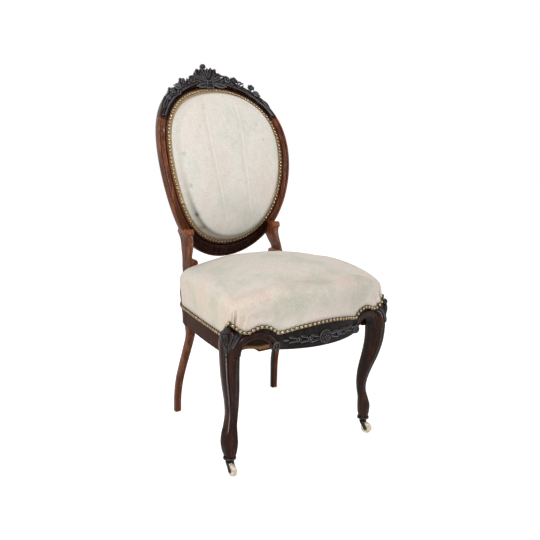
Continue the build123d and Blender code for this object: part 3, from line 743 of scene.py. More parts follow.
def nailRow(name, line, normals, design):
    # heads set at an even pitch along a line, with painted shade from the skirt up and a painted highlight on
    # the crown
    points, faces = [], []
    walked, due = 0.0, 0.0
    for i in range(len(line) - 1):
        a, b = line[i], line[i + 1]
        length = (b - a).length
        while due <= walked + length:
            t = (due - walked) / length
            place = a.lerp(b, t)
            outward = normals[i].lerp(normals[i + 1], t)
            wobble = Vector((random.uniform(-1, 1), random.uniform(-1, 1), random.uniform(-1, 1)))
            nailHead(points, faces, place + 0.25 * wobble, outward + 0.10 * wobble,
                     design["radius"] * random.uniform(0.97, 1.04))
            due += design["pitch"]
        walked += length
    piece = addMesh(name, points, faces, sharpAngle=70)
    layer = piece.data.color_attributes.new("soilAndPaintedLight", "FLOAT_COLOR", "POINT")
    perHead = len(headRings) * headSides + 1
    for i, paint in enumerate(layer.data):
        shade = design["shades"][(i % perHead) // headSides]
        paint.color = (shade, shade, shade, 1)
    return piece


# shades run from skirt to crown: painted shade, and a painted highlight above 1
backNails = {"pitch": 9.9, "radius": 3.75, "steps": 720, "out": 0.2, "sunk": 4.6,
             "shades": (0.02, 0.02, 0.06, 0.35, 1.5, 1.7)}
line, normals = [], []
for i in range(backNails["steps"] + 1):
    turn = 2 * math.pi * i / backNails["steps"]
    x, z = eggPoint(turn, backNails["out"])
    line.append(onBack(x, z, -backNails["sunk"]))
    normals.append(onBack(x, z, 1) - onBack(x, z, 0))
dress(nailRow("backNails", line[:-1], normals, backNails), "chair", nailBrass)
print("back nailed")


# seat

seatShape = {
    "frontLine": -301, "scrollReach": 112, "scrollLine": -270, "kneeReach": 219, "kneeLine": -251,
    "sideReach": 207, "sideLine": -64, "rearTurn": (198, 26), "rearRound": (186, 76), "rearEnd": (150, 114),
    "edge": 350, "easing": 9,
    "crownHeight": 488, "crownLine": -89, "crownRadius": 540,
    # each at the sides, then at the front
    "rimRoll": (36, 27), "rimDrop": (33, 24), "rimRise": (0.5, 2.5), "rimSwell": (2.5, 4.0),
    "hollow": 1.6, "cornerPull": 9, "cloth": 1.4,
}


def arcThrough(a, b, c, count):
    # points along the arc through three places
    (ax, ay), (bx, by), (cx, cy) = a, b, c
    d = 2 * (ax * (by - cy) + bx * (cy - ay) + cx * (ay - by))
    awayA, awayB, awayC = ax * ax + ay * ay, bx * bx + by * by, cx * cx + cy * cy
    ux = (awayA * (by - cy) + awayB * (cy - ay) + awayC * (ay - by)) / d
    uy = (awayA * (cx - bx) + awayB * (ax - cx) + awayC * (bx - ax)) / d
    radius = math.hypot(ax - ux, ay - uy)
    first = math.atan2(ay - uy, ax - ux)
    middle = (math.atan2(by - uy, bx - ux) - first) % (2 * math.pi)
    sweep = (math.atan2(cy - uy, cx - ux) - first) % (2 * math.pi)
    if middle > sweep:
        sweep -= 2 * math.pi
    return [(ux + radius * math.cos(first + sweep * i / count),
             uy + radius * math.sin(first + sweep * i / count))
            for i in range(count + 1)]


def seatOutline(spacing=2.4):
    # the seat frame's outer face in plan, from the middle of the front round to the right and back
    s = seatShape
    half = arcThrough((0, s["frontLine"]), (s["scrollReach"] * 0.52, s["frontLine"] + 8.2),
                      (s["scrollReach"], s["scrollLine"]), 30)
    half += [(s["kneeReach"], s["kneeLine"])]
    half += arcThrough((s["kneeReach"], s["kneeLine"]), (s["sideReach"], s["sideLine"]), s["rearTurn"],
                       40)[1:]
    half += arcThrough(s["rearTurn"], s["rearRound"], s["rearEnd"], 16)[1:]
    half += [(0, s["rearEnd"][1])]
    whole = half + [(-x, y) for x, y in half[-2:0:-1]]
    # walk it at an even pitch, then ease the corners
    closed = whole + [whole[0]]
    lengths = [math.dist(p, q) for p, q in zip(closed, closed[1:])]
    count = 2 * round(sum(lengths) / spacing / 2)
    even, walked, k = [], 0.0, 0
    for i in range(count):
        due = sum(lengths) * i / count
        while walked + lengths[k] < due:
            walked += lengths[k]
            k += 1
        t = (due - walked) / lengths[k]
        even.append((closed[k][0] + (closed[k + 1][0] - closed[k][0]) * t,
                     closed[k][1] + (closed[k + 1][1] - closed[k][1]) * t))
    for _ in range(s["easing"]):
        even = [((even[i - 1][0] + 2 * even[i][0] + even[(i + 1) % count][0]) / 4,
                 (even[i - 1][1] + 2 * even[i][1] + even[(i + 1) % count][1]) / 4) for i in range(count)]
    return even


outline = seatOutline()
outlineNormals = []
for i in range(len(outline)):
    (ax, ay), (bx, by) = outline[i - 1], outline[(i + 1) % len(outline)]
    run = math.hypot(bx - ax, by - ay)
    outlineNormals.append(((by - ay) / run, -(bx - ax) / run))


frontEdge = [   # reach from the middle, height of the nail line along the front
    (0, 369.7), (20, 369.2), (48, 366.2), (75, 361.3), (100, 354.5), (110, 352.8), (118, 358.5), (128, 365.5),
    (140, 369.8), (153, 370.8), (166, 367.5), (178, 362.0), (189, 362.3), (198, 366.5), (206, 372.5),
    (214, 380.5),
    (221, 387)]


def edgeHeight(x, y):
    # nail line: bowed at the front, over each knee, level down the sides
    if y < seatShape["kneeLine"] + 6:
        return between(abs(x), frontEdge)[0]
    back = seatShape["kneeLine"] + 6
    return seatShape["edge"] + 37 * hump(y, back, 17) - 1


def crownAt(x, y):
    s = seatShape
    reach = (x * x + (y - s["crownLine"]) ** 2)
    return s["crownHeight"] - s["crownRadius"] + math.sqrt(s["crownRadius"] ** 2 - reach)


# gathered folds: place along the edge from the knee, and depth
folds = [(-31, 3.6), (-20, 5.0), (-9, 4.6), (3, 4.0), (14, 6.0), (29, 2.4)]


def pleat(x, y, climb):
    # folds gathered over the front corners, deepest just above the nails
    along = (seatShape["kneeReach"] - abs(x)) - (y - seatShape["kneeLine"] - 4)
    fade = smoothStep(0, 5, climb) * (1 - smoothStep(16, 54, climb))
    deep = 0.0
    for place, depth in folds:
        off = along - place * (1 + climb / 90)
        deep += 1.3 * depth * (0.5 * hump(off, 6, 4.5) - hump(off, 0, 2.9))
    return deep * fade


def seatRow(v):
    # v runs 0..1 up the side, 1..2 round the rolled edge, 2..3 over the crown
    s = seatShape
    row = []
    for (px, py), (nx, ny) in zip(outline, outlineNormals):
        inX, inY = -px, s["sideLine"] - py
        run = math.hypot(inX, inY)
        inX, inY = inX / run, inY / run
        low = edgeHeight(px, py) - 4
        front = 1 - smoothStep(-245, -170, py)
        roll, drop, rise, swell = (a + (b - a) * front for a, b in (
            s["rimRoll"], s["rimDrop"], s["rimRise"], s["rimSwell"]))
        rimTop = crownAt(px + inX * roll, py + inY * roll) + rise
        shoulder = rimTop - drop
        climb = min(1, v)
        corner = math.exp(-((abs(px) - s["kneeReach"]) ** 2 + (py - s["kneeLine"]) ** 2) / 45 ** 2)
        out = 1.6 + swell * smoothStep(0.3, 1.0, climb)
        out -= s["cornerPull"] * corner * smoothStep(0.15, 1, climb)
        out -= s["hollow"] * (0.4 + 0.6 * front) * math.sin(math.pi * min(1, climb / 0.7))
        if v <= 1:
            z = low + (shoulder - low) * v
            grow = pleat(px, py, z - low)
            x, y = px + nx * (out + grow), py + ny * (out + grow)
        elif v <= 2:
            a = (v - 1) * math.pi / 2
            inward = roll * (1 - math.cos(a))
            x, y = px + nx * out + inX * inward, py + ny * out + inY * inward
            z = shoulder + drop * math.sin(a)
        else:
            share = 1 - (v - 2)
            edgeX, edgeY = px + nx * out + inX * roll, py + ny * out + inY * roll
            x, y = edgeX * share, s["sideLine"] + (edgeY - s["sideLine"]) * share
            off = math.hypot(edgeX - x, edgeY - y)
            z = crownAt(x, y) + rise * (hump(off, 0, 11) - hump(off, 20, 9) / 2.5)
        soft = 2.0 * noise.noise(Vector((x * 0.011, y * 0.011, z * 0.014)))
        soft += 0.7 * noise.noise(Vector((x * 0.035, y * 0.035, z * 0.03 + 5)))
        soft *= smoothStep(0.1, 0.8, v)
        if v > 1.5:
            row.append((x, y, z + soft))
        else:
            row.append((x + nx * soft, y + ny * soft, z))
    return row


steps = [i / 26 for i in range(26)] + [1 + i / 10 for i in range(10)]
steps += [2 + i / 40 for i in range(40)] + [2.999]
seatCover = addMesh("seatCover", *skinRows([seatRow(v) for v in steps], startCap=False), sharpAngle=80)
facesOutward(seatCover)
thickened(seatCover, seatShape["cloth"])


def seatWearAndShade(x, y, z):
    # the front rim is rubbed pink, the seat is darker towards the rear, the left side is warmer, and painted
    # shade darkens the cloth along the nail line
    wearAndPaintedLight = hump(math.hypot(x * 0.42, y + 5), 268, 26) * smoothStep(415, 440, z) * smoothStep(-150, -220, y)
    patch = 0.5 + 0.5 * noise.noise(Vector((x * 0.03, y * 0.03, 7)))
    rubbed = wearAndPaintedLight * patch * 0.55
    warm = smoothStep(-150, -215, x) * smoothStep(450, 420, z)
    nailLineShade = 0.7 * hump(z - edgeHeight(x, y), 1, 5) * (1 - smoothStep(425, 450, z))
    level = 1 - nailLineShade - 0.10 * smoothStep(0, 120, y)
    return (level * (1 - 0.10 * rubbed), level * (1 - 0.26 * rubbed - 0.02 * warm),
            level * (1 - 0.34 * rubbed - 0.08 * warm))


paintSoilAndLight(seatCover, seatWearAndShade)
dress(seatCover, "chair", seatVelvet, ["seat_cover", "seat_stuffing"])

# shades run from skirt to crown: painted shade, and a painted highlight above 1
seatNails = {"pitch": 10.8, "radius": 4.65, "stopLine": 88, "out": 2.4,
             "shades": (0.02, 0.03, 0.12, 0.65, 1.1, 1.2)}
line, normals = [], []
order = range(len(outline) // 2, len(outline) // 2 + len(outline) + 1)
for i in order:
    (px, py), (nx, ny) = outline[i % len(outline)], outlineNormals[i % len(outline)]
    if py > seatNails["stopLine"]:
        continue
    line.append(Vector((px + nx * seatNails["out"], py + ny * seatNails["out"], edgeHeight(px, py))))
    normals.append(Vector((nx, ny, 0.05)))
dress(nailRow("seatNails", line, normals, seatNails), "chair", nailBrass)
print("seat upholstered")


# front legs

frontLeg = {
    "rows": [   # height, x, y of the middle, width outwards and across
        (46, 203.5, -206.5, 26, 29), (60, 204, -206, 31, 38), (80, 204, -206, 33, 43.5),
        (100, 202, -204, 27.5, 41),
        (122, 198, -201, 24, 34.5), (150, 196, -203.5, 27, 33), (185, 199, -210.5, 34.5, 37),
        (225, 206, -220.5, 42, 42.5), (265, 211.5, -227.5, 47, 46), (305, 213, -230, 51, 49),
        (338, 212, -230, 53, 52), (352, 211.5, -229.5, 52, 45), (364, 210, -228, 50, 33),
        (375, 207.5, -226.5, 44, 22)],
    "power": 1.35, "sides": 72,
}


def legRow(height):
    x, y, out, across = between(height, frontLeg["rows"])
    row = []
    for a in ring(frontLeg["sides"]):
        c, s = math.cos(a), math.sin(a)
        p = 2 / frontLeg["power"]
        u = out / 2 * math.copysign(abs(c) ** p, c)
        w = across / 2 * math.copysign(abs(s) ** p, s)
        # a hollow either side of the front ridge, fading to the ankle
        strength = smoothStep(95, 200, height) * 1.5
        off = abs(math.degrees(math.atan2(math.sin(a), math.cos(a))))
        dent = strength * (1.5 * hump(off, 15, 5) - 0.9 * hump(off, 44, 15))
        length = math.hypot(u, w)
        u, w = u * (1 - dent / length), w * (1 - dent / length)
        row.append((x + (u + w) * math.sqrt(0.5), y + (-u + w) * math.sqrt(0.5), height))
    return row


foot, top = frontLeg["rows"][0][0], frontLeg["rows"][-1][0]
heights = [foot + (top - foot) * i / 110 for i in range(111)]
for side, name in sides:
    points, faces = skinRows([legRow(h) for h in heights])
    leg = addMesh("frontLeg_" + name, onSide(points, side), faces, sharpAngle=40)
    facesOutward(leg)
    dress(leg, "chair", legWood, ["front_leg_" + name])
print("front legs made")


# rear legs and their scrolled arms

rearLeg = {
    "side": [   # height, y at the front and at the back
        (0, 170.5, 187.5), (50, 166.5, 184.5), (100, 157.5, 176.5), (150, 139, 158.5), (200, 116.5, 137),
        (250, 96, 117.5), (300, 87, 115), (350, 87, 120), (400, 95, 132), (450, 105, 150), (500, 117, 172),
        (540, 127, 184)],
    "face": [   # height, x inner and outer
        (0, 156.5, 173.5), (50, 155, 172.5), (100, 151, 169.5), (150, 147, 166), (200, 143.5, 163),
        (250, 140.5, 161.5), (300, 139, 169), (350, 139, 172), (385, 137, 169), (415, 134, 156),
        (436, 133, 152.5)],
    "arm": [    # height, x inner and outer above the seat
        (436, 133, 152.5), (452, 137, 149), (462, 137.5, 147.5), (476, 133, 145.8), (490, 129.3, 143.6),
        (505, 126.8, 143), (520, 128, 146), (533, 131, 144)],
    "scrolls": [(132.5, 446), (137.5, 525)],   # x and height of the scroll ends
    "roll": {"from": 125, "to": 148, "y": 127.5, "z": 525}, "scrollRadius": 9.5,
    "corner": 3.2, "armFrom": 436, "top": 533,
}


def roundedBox(x0, x1, y0, y1, corner, z):
    row = []
    for cx, cy, first in ((x1 - corner, y1 - corner, 0), (x0 + corner, y1 - corner, 90),
                          (x0 + corner, y0 + corner, 180), (x1 - corner, y0 + corner, 270)):
        for k in range(5):
            a = math.radians(first + 22.5 * k)
            row.append((cx + corner * math.cos(a), cy + corner * math.sin(a), z))
    return row


def rearLegRow(z):
    y0, y1 = between(z, rearLeg["side"])
    x0, x1 = between(z, rearLeg["face" if z < rearLeg["armFrom"] else "arm"])
    return roundedBox(x0, x1, y0, y1, rearLeg["corner"], z)


def roundel(x, z, y0, y1, radius):
    # scroll end with an eye and a turned ring, on the front and carried to the back
    profile = [(0, y0 - 0.6), (2.2, y0 - 0.4), (3.2, y0 + 0.9), (4.2, y0 + 0.9), (5.4, y0 - 0.2),
               (radius - 1.4, y0),
               (radius - 0.3, y0 + 1.0), (radius, y0 + 2.4), (radius, y1 - 2), (radius - 1.2, y1), (0, y1)]
    return skinRows([[(x + max(r, 0.05) * math.cos(a), y, z + max(r, 0.05) * math.sin(a)) for a in ring(32)]
                     for r, y in profile])


def rolledTop():
    # the roll that lies across the top of the arm
    roll, radius = rearLeg["roll"], rearLeg["scrollRadius"]
    ends = ((roll["from"], 0.6), (roll["from"] + 1.2, 1.0), (roll["to"] - 1.2, 1.0), (roll["to"], 0.6))
    return skinRows([[(x, roll["y"] + share * radius * math.cos(a), roll["z"] + share * radius * math.sin(a))
                      for a in ring(32)] for x, share in ends])


for side, name in sides:
    parts = []
    forms = [skinRows([rearLegRow(rearLeg["top"] * i / 120) for i in range(121)])]
    for x, z in rearLeg["scrolls"]:
        y0, y1 = between(z, rearLeg["side"])
        forms.append(roundel(x, z, y0 - 1.2, y1, rearLeg["scrollRadius"]))
    forms.append(rolledTop())
    for points, faces in forms:
        parts.append(addMesh("form", onSide(points, side), faces, sharpAngle=40))
    for part in parts:
        facesOutward(part)
    leg = joinAll("rearLeg_" + name, parts)
    dress(leg, "chair", polishedStile, ["rear_leg_" + name])
print("rear legs made")


# front rail

frontRail = {
    "low": 312, "top": 372, "archReach": 158, "archTop": 341.5, "archFoot": 304.5, "archHalf": 37,
    "scroll": (112, 322, 10.5), "field": (320, 347), "end": 200, "kneeFace": (215, -244),
}


archClimb = frontRail["archTop"] - frontRail["archFoot"]
archRadius = (frontRail["archHalf"] ** 2 + archClimb ** 2) / (2 * archClimb)


def archLine(x):
    # underside of the rail at this reach
    f = frontRail
    off = abs(abs(x) - f["archReach"])
    if off < f["archHalf"]:
        return f["archTop"] - archRadius + math.sqrt(archRadius ** 2 - off ** 2)
    return f["archFoot"] if abs(x) > f["archReach"] else f["low"]


def railFace(x):
    # y of the rail's face and its outward normal: a bow between the scrolls, then straight to the knee
    s = seatShape
    reach, side = abs(x), math.copysign(1, x)
    rise = s["scrollLine"] - s["frontLine"]
    bow = (s["scrollReach"] ** 2 + rise ** 2) / (2 * rise)
    if reach <= s["scrollReach"]:
        drop = math.sqrt(bow ** 2 - reach ** 2)
        return s["frontLine"] + bow - drop, Vector((side * reach / bow, -drop / bow, 0))
    run, back = frontRail["kneeFace"][0] - s["scrollReach"], frontRail["kneeFace"][1] - s["scrollLine"]
    length = math.hypot(run, back)
    y = s["scrollLine"] + back * (reach - s["scrollReach"]) / run
    return y, Vector((side * back / length, -run / length, 0))


def railRelief(x, z):
    # mouldings that follow the arch, and the sunk field of the panel
    f = frontRail
    lift = 0.0
    if abs(x) > f["scroll"][0] + 4:
        off = abs(abs(x) - f["archReach"])
        distance = math.hypot(off, z - (f["archTop"] - archRadius)) - archRadius
        # a bead along the opening, a groove and a broad band
        lift += 2.2 * hump(distance, 2.6, 2.2) - 1.4 * hump(distance, 7.5, 2.4)
        lift += 2.0 * hump(distance, 13.5, 4.0)
    elif f["field"][0] < z:
        edge = min(z - f["field"][0], 12)
        side = smoothStep(0, 3, f["scroll"][0] - 2 - abs(x))
        lift -= 1.6 * smoothStep(0, 1.6, edge) * side
        lift += 0.45 * noise.noise(Vector((x * 0.55, z * 0.55, 0))) * side   # punched ground
    return lift


columns = [-frontRail["end"] + 2 * frontRail["end"] * i / 320 for i in range(321)]
rows = []
for x in columns:
    y, n = railFace(x)
    low = archLine(x)
    row = [(x - n.x * 24, y - n.y * 24, frontRail["top"]), (x - n.x * 24, y - n.y * 24, low + 0.5)]
    row += [(x - n.x * 2, y - n.y * 2, low), (x - n.x * 0.6, y - n.y * 0.6, low + 0.3)]
    for k in range(34):
        z = low + 1 + (frontRail["top"] - low - 1) * k / 33
        lift = railRelief(x, z)
        row.append((x + n.x * lift, y + n.y * lift, z))
    rows.append(row)
railFront = addMesh("frontRail", *skinRows(rows), sharpAngle=50)
facesOutward(railFront)
dress(railFront, "chair", groundWood, ["front_rail"])
print("front rail made")


# carving: tapered rods and lumps melted together

carvedUp = Vector((0, -1, 0.4))      # the way the back's carving faces
carvedAxes = (Vector((1, 0, 0)), Vector((0, 0.4, 1)).normalized(), carvedUp.normalized())


def lump(points, faces, centre, radii, axes):
    start = len(points)
    bands, count = 8, 14
    for i in range(bands + 1):
        b = math.pi * i / bands
        for a in ring(count):
            local = (radii[0] * math.sin(b) * math.cos(a), radii[1] * math.sin(b) * math.sin(a),
                     radii[2] * math.cos(b))
            points.append(tuple(centre + axes[0] * local[0] + axes[1] * local[1] + axes[2] * local[2]))
    bandFaces(faces, start, bands, count)


def rod(points, faces, path, radii, flat=1.0, up=carvedUp):
    # swept rod whose thickness changes along its path
    start = len(points)
    count = 12
    last = len(path) - 1
    table = [(k / (len(radii) - 1), r) for k, r in enumerate(radii)]
    for i, p in enumerate(path):
        ahead = path[min(i + 1, last)] - path[max(i - 1, 0)]
        ahead.normalize()
        side = ahead.cross(up).normalized()
        over = side.cross(ahead).normalized()
        radius = between(i / last, table)[0]
        for a in ring(count):
            points.append(tuple(p + radius * (math.cos(a) * side + flat * math.sin(a) * over)))
    bandFaces(faces, start, last, count)
    faces.append(tuple(range(start, start + count))[::-1])
    faces.append(tuple(range(start + last * count, start + (last + 1) * count)))


def leaf(points, faces, place, base, tip, width, ribs, rise, curl):
    # a fluted leaf: rods fanned from its base to its tip, place maps the flat design to the wood
    bx, bz = base
    tx, tz = tip
    length = math.hypot(tx - bx, tz - bz)
    dx, dz = (tx - bx) / length, (tz - bz) / length
    for k in range(ribs):
        spread = (k - (ribs - 1) / 2) / max(1, (ribs - 1) / 2)
        path = []
        for i in range(9):
            t = i / 8
            reach = length * t * (1 - 0.16 * abs(spread))
            across = spread * width * 0.5 * math.sin(math.pi * min(1, 0.12 + 0.80 * t))
            across += curl * t * t * length * 0.3
            high = rise * math.sin(math.pi * (0.15 + 0.75 * t)) * (1 - 0.25 * abs(spread))
            path.append(place(bx + dx * reach - dz * across, bz + dz * reach + dx * across, high))
        thick = width / ribs * 0.62
        rod(points, faces, path, (thick * 0.55, thick, thick * 0.9, thick * 0.35), flat=0.8)


def flower(points, faces, place, x, z, size, petals, rise):
    # a single flower: one ring of petals and an eye
    for a in ring(petals, 0.25):
        centre = place(x + size * 0.56 * math.cos(a), z + size * 0.56 * math.sin(a), rise * 0.55)
        lump(points, faces, centre, (size * 0.40, size * 0.36, size * 0.26), carvedAxes)
    lump(points, faces, place(x, z, rise), (size * 0.28, size * 0.28, size * 0.30), carvedAxes)


def scrollRod(points, faces, place, x, z, radius, turns, start, thick, rise, direction):
    # spiral end of a C-scroll
    path = []
    count = int(14 * turns)
    for i in range(count + 1):
        t = i / count
        r = radius * (1 - 0.72 * t)
        a = math.radians(start) + direction * 2 * math.pi * turns * t
        path.append(place(x + r * math.cos(a), z + r * math.sin(a), rise + 1.2 * t))
    rod(points, faces, path, (thick, thick * 0.7), flat=0.9)


def rose(points, faces, place, x, z, size, rise):
    # a full flower: outer petals, inner petals turned between them, and an eye
    for petals, first, away, wide, high in ((6, 0.0, 0.62, 0.40, 0.45), (5, 0.5, 0.30, 0.27, 0.95)):
        for a in ring(petals, first):
            centre = place(x + size * away * math.cos(a), z + size * away * math.sin(a), rise * high)
            lump(points, faces, centre, (size * wide, size * wide, size * 0.24), carvedAxes)
    lump(points, faces, place(x, z, rise * 1.15), (size * 0.16, size * 0.16, size * 0.2), carvedAxes)


def scallopShell(points, faces, place, design):
    # hollow fan with flutes from its centre to a scalloped, rolled rim
    start = len(points)
    cx, cz = design["centre"]
    first, last = design["rim"][0][0], design["rim"][-1][0]
    across, along = 120, 14
    rows = []
    for j in range(across + 1):
        angle = first + (last - first) * j / across
        lobe = abs(math.cos(math.pi * design["lobes"] * j / across))
        reach = between(angle, design["rim"])[0] - 3.4 * lobe ** 3
        ca, sa = math.cos(math.radians(angle)), math.sin(math.radians(angle))
        row = []
        for i in range(along + 1):
            t = 0.08 + 0.92 * i / along
            high = design["rise"] * (0.15 + 0.85 * t ** 1.3) - design["flute"] * t * (lobe ** 1.5 - 0.4)
            if i == along:
                high -= 2.2
            row.append(place(cx + ca * reach * t, cz + sa * reach * t, high))
        for t in (1.0, 0.6, 0.1):   # the shell's back
            row.append(place(cx + ca * reach * t, cz + sa * reach * t, -6))
        rows.append([tuple(p) for p in row])
    shellPoints, shellFaces = skinRows(rows)
    points += shellPoints
    faces += [tuple(v + start for v in f) for f in shellFaces]


crest = {
    "knob": (-2, 967.5, 9.0, -1),   # x, z, radius, rise
    "shell": {"centre": (-4, 924), "rise": 11, "flute": 3.2, "lobes": 8, "rim": [
        (16, 44), (30, 40), (46, 43), (61, 38), (84, 32), (103, 32), (120, 35), (140, 43), (152, 45),
        (164, 42)]},
    "leaves": [   # base, tip, width, ribs, rise, curl
        ((-12, 923), (-61, 933), 21, 4, 8, -0.22), ((-12, 917), (-49, 911), 15, 3, 6, 0.2),
        ((4, 923), (57, 936), 21, 4, 8, 0.22), ((6, 917), (45, 911), 15, 3, 6, -0.2),
        ((-66, 908), (-72, 931), 13, 3, 6, 0.1), ((-97, 902), (-120, 911), 14, 3, 6, 0.15),
        ((-104, 898), (-112, 883), 10, 2, 4, -0.2), ((-138, 884), (-153, 873), 12, 3, 4, 0.1),
        ((-150, 872), (-168, 846), 10, 2, 3, 0.05),
        ((82, 913), (105, 921), 14, 3, 5.5, -0.1), ((88, 907), (110, 898), 10, 2, 4, 0.1),
        ((126, 896), (146, 884), 12, 3, 4, 0.1), ((148, 874), (167, 846), 10, 2, 3, -0.05)],
    "roses": [(-88, 917, 14, 7), (-130, 891, 13.5, 7)],   # x, z, size, rise
    "buds": [(73, 925, 10.5, 6), (121, 907, 9, 5.5), (62, 915, 6, 4), (-72, 914, 6, 4)],
    "scrolls": [   # x, z, radius, turns, start, thick, rise, direction
        (-57, 924, 9.5, 1.4, 60, 3.4, 6, 1), (51, 926, 9.5, 1.4, 120, 3.4, 6, -1)],
    "bell": (-9, 913),
    "stems": [[(-40, 919), (-70, 909), (-100, 896), (-128, 877), (-150, 856), (-166, 832)],
              [(34, 919), (64, 911), (96, 898), (124, 879), (148, 856), (166, 832)]],
    # the ground that the carving stands on, along its crown line
    "ground": [(-168, 832), (-161, 860), (-150, 878), (-134, 892), (-110, 906), (-85, 917), (-58, 925),
               (-34, 934),
               (-16, 944), (0, 948), (14, 944), (34, 934), (54, 928), (78, 919), (104, 906), (129, 893),
               (148, 876),
               (161, 858), (168, 832)],
}
points, faces = [], []
scallopShell(points, faces, onBack, crest["shell"])
for base, tip, width, ribs, rise, curl in crest["leaves"]:
    leaf(points, faces, onBack, base, tip, width, ribs, rise, curl)
for x, z, size, rise in crest["roses"]:
    rose(points, faces, onBack, x, z, size, rise)
for x, z, size, rise in crest["buds"]:
    lump(points, faces, onBack(x, z, rise), (size * 0.8, size, size * 0.7), carvedAxes)
    for k in (-1, 1):
        rod(points, faces, [onBack(x + k * size * 0.7, z - size, rise * 0.6), onBack(x + k * size, z, rise),
                            onBack(x + k * size * 0.4, z + size, rise)], (1.2, 2.6, 1.0), flat=0.8)
for x, z, radius, turns, start, thick, rise, direction in crest["scrolls"]:
    scrollRod(points, faces, onBack, x, z, radius, turns, start, thick, rise, direction)
    lump(points, faces, onBack(x, z, 0), (radius, radius, 5), carvedAxes)
x, z, radius, rise = crest["knob"]
lump(points, faces, onBack(x, z, rise), (radius, radius * 0.92, radius), carvedAxes)
bx, bz = crest["bell"]
for k in range(5):   # bell flower under the hollow
    rod(points, faces, [onBack(bx + (k - 2) * 1.4, bz + 8, 6), onBack(bx + (k - 2) * 2.8, bz, 6.5),
                        onBack(bx + (k - 2) * 5.0, bz - 9, 3)], (1.8, 3.0, 2.2), flat=0.8)
for stem in crest["stems"]:
    rod(points, faces, [onBack(x, z, 2.5) for x, z in stem], (3.0, 3.2, 2.8, 1.4), flat=0.8)
for (ax, az), (bx, bz) in zip(crest["ground"], crest["ground"][1:]):
    path = [onBack(ax + (bx - ax) * t / 4, az + (bz - az) * t / 4, -5) for t in range(5)]
    rod(points, faces, path, (6.5, 6.5))
for x in range(-36, 37, 9):   # and the body behind the shell
    rod(points, faces, [onBack(x * 0.9, 916, -6), onBack(x * 0.7, 946 - abs(x) * 0.45, -6)], (8, 7), flat=0.7)
carving = addMesh("crestCarving", points, faces)
remeshed(carving, 0.8, 1)
dress(carving, "chair", carvedWood, ["crest_carving"])
print("crest carved")


# carving on the front rail and knees

def legCorner(side, z, away):
    # the front leg's inner front corner at this height, a little way round towards its ridge
    x, y, out, across = between(z, frontLeg["rows"])
    u = -across / 2 + 2 + away * 0.55
    face = out / 2 * (1 - abs(u / (across / 2)) ** frontLeg["power"]) ** (1 / frontLeg["power"])
    return Vector(((x + (face + u) * math.sqrt(0.5)) * side, y + (-face + u) * math.sqrt(0.5), z))


def railPlace(x, z, rise):
    y, n = railFace(x)
    return Vector((x + n.x * rise, y + n.y * rise, z))


railOrnament = {
    "rosette": (0, 333, 14.5, 4.4),
    "leaves": [   # middle of each almond leaf, half length, half width, tilt
        (28, 338.5, 11, 4.2, 14), (29, 327.5, 11, 4.0, -12), (54, 339.5, 10, 3.8, 16),
        (54, 328.5, 10, 3.6, -10),
        (79, 339.0, 10, 3.6, 10), (80, 329.5, 9, 3.4, -10), (94, 334, 6, 2.8, 0)],
    "blooms": [(41, 333, 7.0, 4.2), (67, 334, 6.5, 4.0)],
    "archBands": [(3.2, 1.9, 1.4), (12.0, 6.6, -0.4)],   # distance from the opening, radius, rise
    "scrollEnd": (   # radius, rise
        (0.05, 6.0), (3, 5.8), (4.0, 3.4), (5.2, 3.2), (6.2, 5.4), (7.6, 5.6), (8.4, 3.8), (9.3, 5.0),
        (10.3, 4.2),
        (10.6, 1.0), (10.6, -14)),
}
points, faces = [], []
archPoints, archFaces = [], []
forward = Vector((0, -1, 0))
x, z, size, rise = railOrnament["rosette"]
rose(points, faces, railPlace, x, z, size * 0.92, rise)
hoop = [railPlace(size * math.cos(a), z + size * math.sin(a), 1.0) for a in ring(40) + [2 * math.pi]]
rod(points, faces, hoop, (1.7, 1.7), up=forward)
for side in (-1, 1):
    for x, z, half, wide, tilt in railOrnament["leaves"]:
        _, facing = railFace(x * side)
        level = Vector((-facing.y, facing.x, 0))
        tilted = math.radians(tilt) * side
        along = level * math.cos(tilted) + Vector((0, 0, 1)) * math.sin(tilted)
        lump(points, faces, railPlace(x * side, z, 0.4), (half, wide, 3.4),
             (along, along.cross(facing), facing))
        vein = []
        for t in (-1, -0.5, 0, 0.5, 1):
            reach = half * 0.8 * t
            vein.append(railPlace(x * side + reach * math.cos(tilted), z + reach * math.sin(tilted), 3.6))
        rod(points, faces, vein, (0.7, 1.2, 0.7), up=forward)
    for x, z, size, rise in railOrnament["blooms"]:
        flower(points, faces, railPlace, x * side, z, size, 5, rise)
    f = frontRail
    for away, thick, rise in railOrnament["archBands"]:
        path = []
        for i in range(41):   # over the arch, from the scroll to the leg
            a = math.radians(-62 + 152 * i / 40)
            reach = archRadius + away
            x, z = f["archReach"] + reach * math.sin(a), f["archTop"] - archRadius + reach * math.cos(a)
            path.append(railPlace(side * x, z, rise))
        z = path[-1].z
        for i in range(1, 25):   # and down the leg's inner corner
            path.append(legCorner(side, z - 4 * i, away) + Vector((0, 0.08 * i, 0)))
        rod(archPoints, archFaces, path, (thick * 0.9, thick, thick, thick, thick * 0.9), up=forward,
            flat=0.8)
    x, z, radius = frontRail["scroll"]
    y, n = railFace(x)
    rows = [[((x + n.x * lift) * side + r * math.cos(a), y + n.y * lift,
              z + r * math.sin(a)) for a in ring(40)]
            for r, lift in railOrnament["scrollEnd"]]
    endPoints, endFaces = skinRows(rows)
    shift = len(points)
    points += endPoints
    faces += [tuple(v + shift for v in f) for f in endFaces]
railCarving = addMesh("railCarving", points, faces)
remeshed(railCarving, 0.65, 1)
dress(railCarving, "chair", carvedWood)
archMoulding = addMesh("archMoulding", archPoints, archFaces)
remeshed(archMoulding, 0.8, 2)
dress(archMoulding, "chair", legWood)

